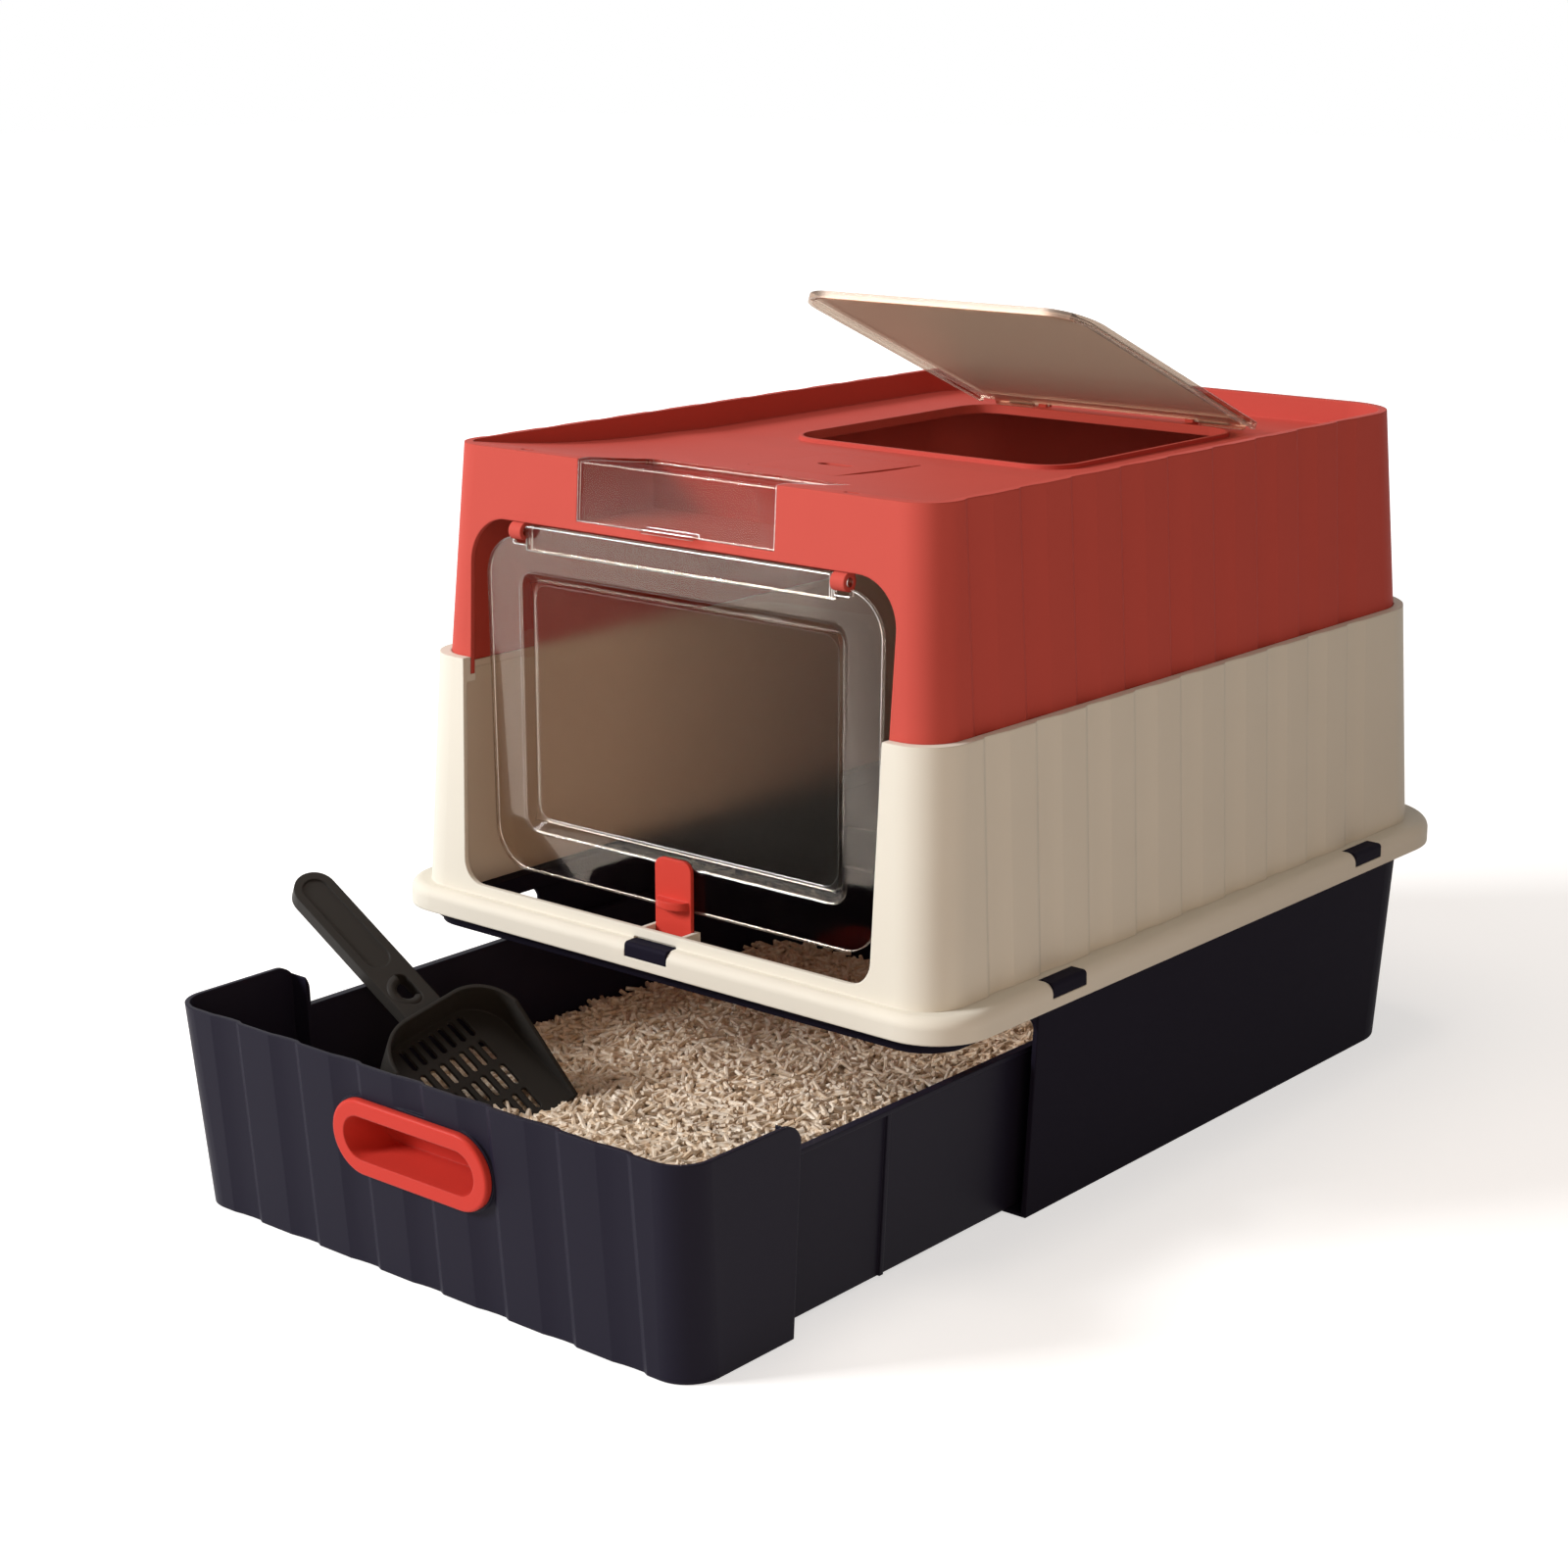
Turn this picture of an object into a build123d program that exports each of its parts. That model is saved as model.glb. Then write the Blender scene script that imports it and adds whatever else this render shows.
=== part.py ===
from build123d import *
import os
from math import atan, cos, degrees, radians, sin

# Drawer litter box: a two-tier hood on a base housing with a pull-out litter drawer.
# Millimetres, +Z up, -Y is the front. The origin is on the underside of the housing,
# below the middle of the ledge that runs around the hood.
# It is posed as in use: drawer pulled out, top lid propped open, front flap hanging closed.

os.makedirs("parts", exist_ok=True)

# ---------------------------------------------------------------- shared sizes
WALL = 3.0
FIT = 0.3                     # gap between a moving piece and its seat
SNUG = 0.15                   # radial gap of a pin in its bore

# flutes: a shallow scallop that ends in a steep facet, then a flat land
FLUTE_PITCH = 45.2
FLUTE_WIDTH = 23.0
FLUTE_DEPTH = 1.6
FLUTE_FACET = 3.6             # run of the steep facet beside the crisp ridge

# ---------------------------------------------------------------- middle shell
LEDGE_HALF = 203.5
LEDGE_FRONT = -267.2
LEDGE_REAR = 267.1
LEDGE_FRONT_RADIUS = 34.0
LEDGE_REAR_RADIUS = 55.0
LEDGE_HEIGHT = 14.0
LEDGE_FILLET = 6.0
LEDGE_SIDE_STEP = 19.9        # from the ledge's edge in to the shell's top edge
LEDGE_FRONT_STEP = 14.2
LEDGE_REAR_STEP = 15.6
MIDDLE_TOP = 276.0
MIDDLE_HALF = LEDGE_HALF - LEDGE_SIDE_STEP
MIDDLE_FRONT = LEDGE_FRONT + LEDGE_FRONT_STEP
MIDDLE_REAR = LEDGE_REAR - LEDGE_REAR_STEP
MIDDLE_FRONT_RADIUS = 25.0
MIDDLE_REAR_RADIUS = 48.0
MIDDLE_DRAFT = 0.045
SPIGOT = 9.7                  # how far the upper shell reaches down inside the middle one
SEAT_THICKNESS = 4.3
SEAT_WIDTH = 4.0

# ---------------------------------------------------------------- base housing
HOUSING_SET_IN = 23.5         # from the ledge's edge in to the foot of the side wall
HOUSING_REAR_SET_IN = 24.6
HOUSING_HALF = LEDGE_HALF - HOUSING_SET_IN
HOUSING_FRONT = -163.5
HOUSING_REAR = LEDGE_REAR - HOUSING_REAR_SET_IN
HOUSING_REAR_RADIUS = 40.0
HOUSING_DRAFT = 0.05
HOUSING_FLOOR = 2.0
RAIL_BOTTOM = 117.0
RAIL_TOP = 127.2
RAIL_SET_IN = 14.0
RAIL_FRONT_SET_IN = 9.7
RAIL_REAR_SET_IN = 13.1
RAIL_HALF = LEDGE_HALF - RAIL_SET_IN
RAIL_FRONT = LEDGE_FRONT + RAIL_FRONT_SET_IN
RAIL_REAR = LEDGE_REAR - RAIL_REAR_SET_IN
RAIL_FRONT_RADIUS = 28.0
RAIL_REAR_RADIUS = 48.0
RAIL_WIDTH = 8.5
RAIL_STEP = 3.5               # the rail's lower half is set in by this much
RAIL_STEP_HEIGHT = 4.5
GUSSET_RADIUS = 11.0

# ---------------------------------------------------------------- upper shell
UPPER_TOP = 395.0
TIER_STEP = 13.3              # from the middle shell's top edge in to the upper shell's
UPPER_HALF = MIDDLE_HALF - TIER_STEP
UPPER_FRONT = MIDDLE_FRONT + TIER_STEP
UPPER_REAR = MIDDLE_REAR - TIER_STEP
UPPER_FRONT_RADIUS = 21.0
UPPER_REAR_RADIUS = 42.0
UPPER_DRAFT = 0.061
SIDE_FLUTE_START = 4.1        # from the front corner to the first ridge
FIRST_SIDE_RIDGE = UPPER_FRONT + UPPER_FRONT_RADIUS + SIDE_FLUTE_START
SIDE_FLUTES = int((UPPER_REAR - UPPER_REAR_RADIUS - FLUTE_WIDTH - FIRST_SIDE_RIDGE) / FLUTE_PITCH) + 1
RIM_WIDTH = 5.0
DECK_SETBACK = 7.7
DECK_BEND_DROP = 10.0
DECK_LOW_DROP = 13.5
DECK_FLAT_DROP = 15.0
DECK_FRONT = UPPER_FRONT + DECK_SETBACK
DECK_BEND = -150.0
DECK_BEND_Z = UPPER_TOP - DECK_BEND_DROP
DECK_LOW = -66.0
DECK_LOW_Z = UPPER_TOP - DECK_LOW_DROP
DECK_FLAT_Z = UPPER_TOP - DECK_FLAT_DROP
DECK_FLAT = -30.0

# ---------------------------------------------------------------- doorway and flap
DOORWAY_BOTTOM = 147.5
DOORWAY_TOP = 356.2
DOORWAY_POST = 36.6           # width of the post beside the doorway at the shell's top edge
DOORWAY_TAPER = 4.0
DOORWAY_BOTTOM_HALF = MIDDLE_HALF - DOORWAY_POST
DOORWAY_TOP_HALF = DOORWAY_BOTTOM_HALF + DOORWAY_TAPER
DOORWAY_BOTTOM_RADIUS = 14.0
DOORWAY_TOP_RADIUS = 26.0
FLAP_PROUD = 1.6              # the flap hangs this far in front of the upper shell's top edge
FLAP_FACE = UPPER_FRONT - FLAP_PROUD
FLAP_THICKNESS = 2.6
FLAP_SIDE_GAP = 9.0
FLAP_TOP_SIDE_GAP = 10.5
FLAP_BOTTOM_GAP = 9.0
FLAP_TOP_GAP = 8.7
FLAP_BOTTOM = DOORWAY_BOTTOM + FLAP_BOTTOM_GAP
FLAP_TOP = DOORWAY_TOP - FLAP_TOP_GAP
FLAP_BOTTOM_HALF = DOORWAY_BOTTOM_HALF - FLAP_SIDE_GAP
FLAP_TOP_HALF = DOORWAY_TOP_HALF - FLAP_TOP_SIDE_GAP
FLAP_RADIUS = 24.0
DISH_MARGIN = 20.0
DISH_BOTTOM_MARGIN = 21.5
DISH_TOP_MARGIN = 16.5
DISH_HALF = FLAP_BOTTOM_HALF - DISH_MARGIN
DISH_BOTTOM = FLAP_BOTTOM + DISH_BOTTOM_MARGIN
DISH_TOP = FLAP_TOP - DISH_TOP_MARGIN
DISH_RADIUS = 10.0
DISH_DEPTH = 5.0
DISH_BEVEL = 7.0
HINGE_Y = FLAP_FACE + 0.8
HINGE_DROP = 5.2              # from the doorway's top edge down to the hinge axis
HINGE_Z = DOORWAY_TOP - HINGE_DROP
HANGER_X = 114.0
HANGER_WIDTH = 9.0
HINGE_RAIL_HALF = HANGER_X - HANGER_WIDTH / 2 - 2.0
HINGE_RAIL_DEPTH = 5.0
HINGE_RAIL_TOP = HINGE_Z + 3.5
HINGE_RAIL_BOTTOM = HINGE_Z - 10.0
HINGE_PIN_RADIUS = 2.4
HANGER_RADIUS = 5.0
HANGER_TONGUE = 24.0
HANGER_TONGUE_THICKNESS = 3.0
HANGER_NOTCH = 7.2            # the flap is notched this far below the hinge axis
HANGER_SLOT = (9.0, 2.6)
HANGER_SLOT_SETBACK = 6.0

# ---------------------------------------------------------------- flap latch
LATCH_HALF = 13.0
LATCH_BOTTOM = 129.5
LATCH_TOP = 185.0
LATCH_THICKNESS = 2.3
LATCH_LEDGE_Z = 158.0
LATCH_LEDGE_HALF = 11.0
LATCH_LEDGE_REACH = 6.5
LATCH_LEDGE_HEIGHT = 4.5
LATCH_RADIUS = 6.0
CHEEK_TOP = 146.0
CHEEK_WIDTH = 2.6
CHEEK_LIP = 1.6

# ---------------------------------------------------------------- scent pocket in the top front edge
POCKET_HALF = 70.0
POCKET_BOTTOM = 361.0
POCKET_REAR = -180.0
POCKET_WALL = 2.5
COVER_THICKNESS = 2.0
COVER_LIP_HALF = 18.5
COVER_LIP_REACH = 6.0
COVER_LIP_THICKNESS = 2.4
COVER_PIN_RADIUS = 1.5
COVER_PIN_REACH = 2.0
COVER_PIN_SETBACK = 5.0

# ---------------------------------------------------------------- deodoriser well in the deck
WELL_HALF = 32.0
WELL_FRONT = -146.0
WELL_REAR = -68.0
WELL_DEPTH = 20.0
WELL_LIP = 3.0
DEODORISER_COVER_THICKNESS = 2.4
FINGER_SLOT = (22.0, 9.0)
PAD_HEIGHT = 11.0
PAD_MARGIN = 1.0

# ---------------------------------------------------------------- top hatch and lid
HATCH_HALF = 97.0
HATCH_FRONT = -32.0
HATCH_REAR = 160.0
HATCH_RADIUS = 22.0
HATCH_LIP = 2.6
HATCH_LIP_HEIGHT = 2.6
LID_HALF = 103.5
LID_LENGTH = 211.0
LID_THICKNESS = 2.4
LID_RADIUS = 26.0
LID_BEAD = 3.2
LID_BEAD_HEIGHT = 2.0
LID_LINE = 2.0                # raised line inside the lid's edge
LID_LINE_INSET = 9.0
LID_LINE_HEIGHT = 0.8
LID_OPEN = 23.2               # degrees above closed, as posed
LID_AXIS_Y = 173.0
LID_AXIS_Z = UPPER_TOP - 11.0
LID_BARREL_RADIUS = 3.2
LID_BARREL_X = (62.0, 92.0)
LID_PIN_RADIUS = 1.5
LID_PIN_GRIP = 20.0
HINGE_BLOCK_HALF = 58.0
HINGE_BLOCK_DEPTH = 12.0
HINGE_EAR = 6.0

# ---------------------------------------------------------------- drawer
DRAWER_TRAVEL = 191.8
FRONT_PANEL_HALF = HOUSING_HALF
FRONT_PANEL_Y = -432.2
FRONT_PANEL_BOTTOM = 0.5
FRONT_PANEL_TOP = 115.3
FRONT_PANEL_LEAN = 0.084
FRONT_PANEL_SIDE_DRAFT = 0.043
FRONT_PANEL_RADIUS = 20.0
DRAWER_FLUTE_PITCH = 46.7
DRAWER_FLUTE_START = 8.9      # from the left corner to the first flute
FIRST_DRAWER_RIDGE = -FRONT_PANEL_HALF + FRONT_PANEL_RADIUS + DRAWER_FLUTE_START + FLUTE_WIDTH
DRAWER_FLUTES = int((FRONT_PANEL_HALF - FRONT_PANEL_RADIUS - FIRST_DRAWER_RIDGE) / DRAWER_FLUTE_PITCH) + 1
WING_REAR = -357.0
WING_RADIUS = 12.0
DRAWER_WALL = 2.6
TUB_BOTTOM = HOUSING_FLOOR + FIT
TUB_FLOOR = 2.8
TUB_TOP = 94.2
TUB_SIDE_GAP = 9.5            # between the tub and the housing's inner wall, at the floor
TUB_REAR_GAP = 7.7            # the same behind the tub when the drawer is shut
TUB_HALF = HOUSING_HALF - WALL - TUB_SIDE_GAP
TUB_REAR = HOUSING_REAR - WALL - TUB_REAR_GAP - DRAWER_TRAVEL
TUB_DRAFT = 0.05
TUB_REAR_RADIUS = 34.0
TUB_RIM = 5.0
TUB_RIM_THICKNESS = 2.6
RIB_Y = (-274.5,)
RIB_WIDTH = 3.0
RIB_PROUD = 1.6
LITTER_TOP = 38.0
LITTER_LOW = 30.0

# ---------------------------------------------------------------- drawer handle
HANDLE_Z = 76.0
HANDLE_LENGTH = 112.0
HANDLE_HEIGHT = 42.0
HANDLE_PROUD = 4.0
HANDLE_RING = 6.5
HANDLE_CUP_DEPTH = 24.0
HANDLE_CUP_WALL = 2.2
HANDLE_EDGE = 1.6

# ---------------------------------------------------------------- snap clips
CLIP_LENGTH = 30.0
CLIP_SIDE_Y = (-161.0, 152.0)
CLIP_SKIN = 2.5
CLIP_DROP = 8.0
CLIP_STEM = 2.4

# ---------------------------------------------------------------- scoop
SCOOP_ASIDE = 60.5            # the tip lies this far left of the middle
SCOOP_BEHIND = 125.7          # and this far behind the drawer's front
SCOOP_SINK = 0.3
SCOOP_TIP = Vector(-SCOOP_ASIDE, FRONT_PANEL_Y + SCOOP_BEHIND, LITTER_LOW - SCOOP_SINK)
SCOOP_FORWARD = Vector(0.8249, 0.0613, -0.562)
SCOOP_ACROSS = Vector(0.0948, 0.965, 0.2444)
SCOOP_BLADE = 84.0
SCOOP_HALF = 44.0
SCOOP_CORNER = 27.0
SCOOP_DEPTH = 24.0
SCOOP_TIP_DEPTH = 3.0
SCOOP_WALL = 2.2
SCOOP_HANDLE = 112.0
SCOOP_HANDLE_WIDTH = 25.0
SCOOP_HANDLE_THICKNESS = 9.0
SCOOP_NECK = 36.0
SCOOP_EYE = (22.0, 11.0)
SCOOP_SLOT = (15.0, 3.6)
SCOOP_SLOT_PITCH = 7.0
SCOOP_ROW_PITCH = 19.0
SCOOP_ROWS = 4
SCOOP_ROW_SLOTS = 7
HOLLOW_SIDE = 8.0             # room in the litter beside the scoop's buried edge
SCOOP_HANDLE_RISE = 8.0
SCOOP_PAD = (70.0, 15.0)
SCOOP_PAD_INSET = 5.0
SCOOP_PAD_DEPTH = 1.0


# ---------------------------------------------------------------- outline helpers
def scallop(ridge, far, inward):
    """One flute of a straight wall: a steep facet beside the ridge, then a shallow arc to its far edge."""
    along = (far - ridge).normalized()
    deepest = ridge + along * FLUTE_FACET + inward * FLUTE_DEPTH
    middle = (deepest + far) * 0.5 + inward * (FLUTE_DEPTH * 0.3)
    Line(ridge, deepest)
    ThreePointArc(deepest, middle, far)


def fluted_run(start, end, ridges, width, inward):
    """A straight wall from start to end, with a flute that begins at each ridge and runs on by width."""
    point = start
    along = (end - start).normalized()
    for ridge in ridges:
        far = ridge + along * width
        Line(point, ridge)
        scallop(ridge, far, inward)
        point = far
    Line(point, end)


def side_ridges(x):
    return [Vector(x, FIRST_SIDE_RIDGE + FLUTE_PITCH * i) for i in range(SIDE_FLUTES)]


def tier_outline(half, front, rear, front_radius, rear_radius, fluted):
    """Plan outline of a hood tier: rounded corners, with flutes down both long sides where fluted."""
    for side in (1, -1):
        start = Vector(side * half, front + front_radius)
        end = Vector(side * half, rear - rear_radius)
        ridges = side_ridges(side * half) if fluted else []
        fluted_run(start, end, ridges, FLUTE_WIDTH, Vector(-side, 0))
        middle = Vector(side * (half - rear_radius), rear - rear_radius)
        swing = Vector(side * rear_radius * cos(radians(45)), rear_radius * sin(radians(45)))
        ThreePointArc(end, middle + swing, Vector(side * (half - rear_radius), rear))
        middle = Vector(side * (half - front_radius), front + front_radius)
        swing = Vector(side * front_radius * cos(radians(45)), -front_radius * sin(radians(45)))
        ThreePointArc(start, middle + swing, Vector(side * (half - front_radius), front))
    Line(Vector(half - rear_radius, rear), Vector(-half + rear_radius, rear))
    Line(Vector(half - front_radius, front), Vector(-half + front_radius, front))


def tier_face(z, half, front, rear, front_radius, rear_radius, fluted=False):
    with BuildSketch(Plane.XY.offset(z)) as section:
        with BuildLine():
            tier_outline(half, front, rear, front_radius, rear_radius, fluted)
        make_face()
    return section.sketch.face()


def upper_face(z, inset=0.0, fluted=False):
    """The upper shell's section at height z, moved in by inset."""
    spread = UPPER_DRAFT * (UPPER_TOP - z) - inset
    return tier_face(z, UPPER_HALF + spread, UPPER_FRONT - spread, UPPER_REAR + spread,
                     UPPER_FRONT_RADIUS - inset, UPPER_REAR_RADIUS - inset, fluted)


def middle_face(z, inset=0.0, fluted=False):
    """The middle shell's section at height z, moved in by inset."""
    spread = MIDDLE_DRAFT * (MIDDLE_TOP - z) - inset
    return tier_face(z, MIDDLE_HALF + spread, MIDDLE_FRONT - spread, MIDDLE_REAR + spread,
                     MIDDLE_FRONT_RADIUS - inset, MIDDLE_REAR_RADIUS - inset, fluted)


def square_front_face(z, half, front, rear, radius):
    """A section with square front corners and rounded rear corners."""
    with BuildSketch(Plane.XY.offset(z)) as section:
        with BuildLine():
            Line(Vector(-half, front), Vector(half, front))
            for side in (1, -1):
                Line(Vector(side * half, front), Vector(side * half, rear - radius))
                middle = Vector(side * (half - radius), rear - radius)
                swing = Vector(side * radius * cos(radians(45)), radius * sin(radians(45)))
                ThreePointArc(Vector(side * half, rear - radius), middle + swing,
                              Vector(side * (half - radius), rear))
            Line(Vector(half - radius, rear), Vector(-half + radius, rear))
        make_face()
    return section.sketch.face()


def housing_face(z, inset=0.0, front=HOUSING_FRONT):
    spread = HOUSING_DRAFT * z - inset
    return square_front_face(z, HOUSING_HALF + spread, front, HOUSING_REAR + spread,
                             HOUSING_REAR_RADIUS - inset)


def tub_face(z, inset=0.0, front=WING_REAR - DRAWER_WALL * 2):
    spread = TUB_DRAFT * z - inset
    return square_front_face(z, TUB_HALF + spread, front, TUB_REAR + spread, TUB_REAR_RADIUS - inset)


def front_panel_y(z):
    """Outer face of the drawer front at height z."""
    return FRONT_PANEL_Y - FRONT_PANEL_LEAN * z


def front_panel_face(z, inset=0.0):
    """Section of the drawer's front part: the fluted panel with a wing back along each side."""
    half = FRONT_PANEL_HALF + FRONT_PANEL_SIDE_DRAFT * z - inset
    front = front_panel_y(z) + inset
    rear = WING_REAR - inset
    radius = FRONT_PANEL_RADIUS - inset
    with BuildSketch(Plane.XY.offset(z)) as section:
        with BuildLine():
            start = Vector(half - radius, front)
            end = Vector(-half + radius, front)
            ridges = [Vector(FIRST_DRAWER_RIDGE + DRAWER_FLUTE_PITCH * i, front)
                      for i in reversed(range(DRAWER_FLUTES))]
            fluted_run(start, end, ridges, FLUTE_WIDTH, Vector(0, 1))
            for side in (1, -1):
                middle = Vector(side * (half - radius), front + radius)
                swing = Vector(side * radius * cos(radians(45)), -radius * sin(radians(45)))
                ThreePointArc(Vector(side * (half - radius), front), middle + swing,
                              Vector(side * half, front + radius))
                Line(Vector(side * half, front + radius), Vector(side * half, rear))
            Line(Vector(half, rear), Vector(-half, rear))
        make_face()
    return section.sketch.face()


def doorway_cut():
    """The doorway's outline in the front view; it tapers slightly towards the sill."""
    with BuildSketch(Plane.XZ) as outline:
        with BuildLine():
            Polyline((-DOORWAY_BOTTOM_HALF, DOORWAY_BOTTOM), (DOORWAY_BOTTOM_HALF, DOORWAY_BOTTOM),
                     (DOORWAY_TOP_HALF, DOORWAY_TOP), (-DOORWAY_TOP_HALF, DOORWAY_TOP), close=True)
        make_face()
        fillet(outline.vertices().group_by(Axis.Y)[0], DOORWAY_BOTTOM_RADIUS)
        fillet(outline.vertices().group_by(Axis.Y)[-1], DOORWAY_TOP_RADIUS)
    return outline.sketch.face()


def deck_z(y):
    """Height of the deck's upper surface at y, along its arc, slope and flat."""
    if y <= DECK_FRONT:
        return UPPER_TOP
    if y <= DECK_LOW:
        first = (y - DECK_BEND) * (y - DECK_LOW) / ((DECK_FRONT - DECK_BEND) * (DECK_FRONT - DECK_LOW))
        second = (y - DECK_FRONT) * (y - DECK_LOW) / ((DECK_BEND - DECK_FRONT) * (DECK_BEND - DECK_LOW))
        third = (y - DECK_FRONT) * (y - DECK_BEND) / ((DECK_LOW - DECK_FRONT) * (DECK_LOW - DECK_BEND))
        return UPPER_TOP * first + DECK_BEND_Z * second + DECK_LOW_Z * third
    if y <= DECK_FLAT:
        return DECK_LOW_Z + (DECK_FLAT_Z - DECK_LOW_Z) * (y - DECK_LOW) / (DECK_FLAT - DECK_LOW)
    return DECK_FLAT_Z


def deck_line(drop=0.0):
    """The deck's profile in the side view, lowered by drop."""
    ThreePointArc((DECK_FRONT, UPPER_TOP - drop), (DECK_BEND, DECK_BEND_Z - drop), (DECK_LOW, DECK_LOW_Z - drop))
    Line((DECK_LOW, DECK_LOW_Z - drop), (DECK_FLAT, DECK_FLAT_Z - drop))


# ---------------------------------------------------------------- base housing
RAIL_INNER = (RAIL_HALF - RAIL_WIDTH - RAIL_STEP, RAIL_FRONT + RAIL_WIDTH, RAIL_REAR - RAIL_WIDTH - RAIL_STEP)

with BuildPart() as base_housing:
    loft([housing_face(0), housing_face(RAIL_BOTTOM + 1)], ruled=True)
    loft([housing_face(HOUSING_FLOOR, WALL, HOUSING_FRONT - 1),
          housing_face(RAIL_BOTTOM + 2, WALL, HOUSING_FRONT - 1)], ruled=True, mode=Mode.SUBTRACT)
    for inset, low, high in ((RAIL_STEP, RAIL_BOTTOM, RAIL_BOTTOM + RAIL_STEP_HEIGHT),
                             (0, RAIL_BOTTOM + RAIL_STEP_HEIGHT, RAIL_TOP)):
        with BuildSketch(Plane.XY.offset(low)):
            add(tier_face(0, RAIL_HALF - inset, RAIL_FRONT + inset, RAIL_REAR - inset,
                          RAIL_FRONT_RADIUS - inset, RAIL_REAR_RADIUS - inset))
            add(tier_face(0, *RAIL_INNER, RAIL_FRONT_RADIUS - RAIL_WIDTH, RAIL_REAR_RADIUS - RAIL_WIDTH),
                mode=Mode.SUBTRACT)
        extrude(amount=high - low)
    # a concave gusset joins the top of each side wall's front edge to the rail
    gusset_x = HOUSING_HALF + HOUSING_DRAFT * RAIL_BOTTOM - WALL
    for x in (gusset_x, -gusset_x - WALL + 1):
        with BuildSketch(Plane.YZ.offset(x)):
            with Locations((HOUSING_FRONT, RAIL_BOTTOM)):
                Rectangle(GUSSET_RADIUS, GUSSET_RADIUS, align=(Align.MAX, Align.MAX))
            with Locations((HOUSING_FRONT - GUSSET_RADIUS, RAIL_BOTTOM - GUSSET_RADIUS)):
                Circle(GUSSET_RADIUS, mode=Mode.SUBTRACT)
        extrude(amount=WALL - 1)

base_housing.part.label = "base_housing"
export_step(base_housing.part, "parts/base_housing.step")

# ---------------------------------------------------------------- snap clips and their notches
LEDGE_TOP = RAIL_TOP + LEDGE_HEIGHT
CLIP_PLACES = [(LEDGE_HALF, y, 0) for y in CLIP_SIDE_Y] + [(-LEDGE_HALF, y, 180) for y in CLIP_SIDE_Y]
CLIP_PLACES += [(0, LEDGE_FRONT, -90), (0, LEDGE_REAR, 90)]


def clip_profile(grow=0.0):
    """Hook section, seen along the ledge: a stem up through the ledge and a skin over its outer edge."""
    stem_in = -LEDGE_FRONT + RAIL_FRONT
    with BuildSketch(Plane.XZ) as section:
        with BuildLine():
            Polyline((-stem_in - grow, RAIL_TOP - grow * 4), (-stem_in - grow, LEDGE_TOP + grow * 4),
                     (grow * 4, LEDGE_TOP + grow * 4), (grow * 4, LEDGE_TOP - CLIP_DROP - grow),
                     (-CLIP_SKIN - grow, LEDGE_TOP - CLIP_DROP - grow),
                     (-CLIP_SKIN - grow, LEDGE_TOP - CLIP_SKIN - grow),
                     (CLIP_STEM - stem_in + grow, LEDGE_TOP - CLIP_SKIN - grow),
                     (CLIP_STEM - stem_in + grow, RAIL_TOP - grow * 4), close=True)
        make_face()
    return section.sketch.face()


def clip_solid(x, y, turn, grow=0.0):
    """One clip, or with grow the notch that it sits in, placed on the ledge's outer edge."""
    with BuildPart(mode=Mode.PRIVATE) as clip:
        extrude(clip_profile(grow), amount=CLIP_LENGTH / 2 + grow, both=True)
        if not grow:
            outer = clip.edges().filter_by(Axis.Y).filter_by(
                lambda edge: edge.center().X > -0.1 and edge.center().Z > LEDGE_TOP - 0.1)
            fillet(outer, CLIP_SKIN * 0.9)
    return clip.part.moved(Location((x, y, 0), (0, 0, turn)))


with BuildPart() as base_clips:
    for place in CLIP_PLACES:
        add(clip_solid(*place))

base_clips.part.label = "base_clips"
export_step(base_clips.part, "parts/base_clips.step")

# ---------------------------------------------------------------- middle shell
SEAT_TOP = MIDDLE_TOP - SPIGOT
LATCH_BACK = FLAP_FACE - 0.6
LATCH_FRONT = LATCH_BACK - LATCH_THICKNESS

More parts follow.
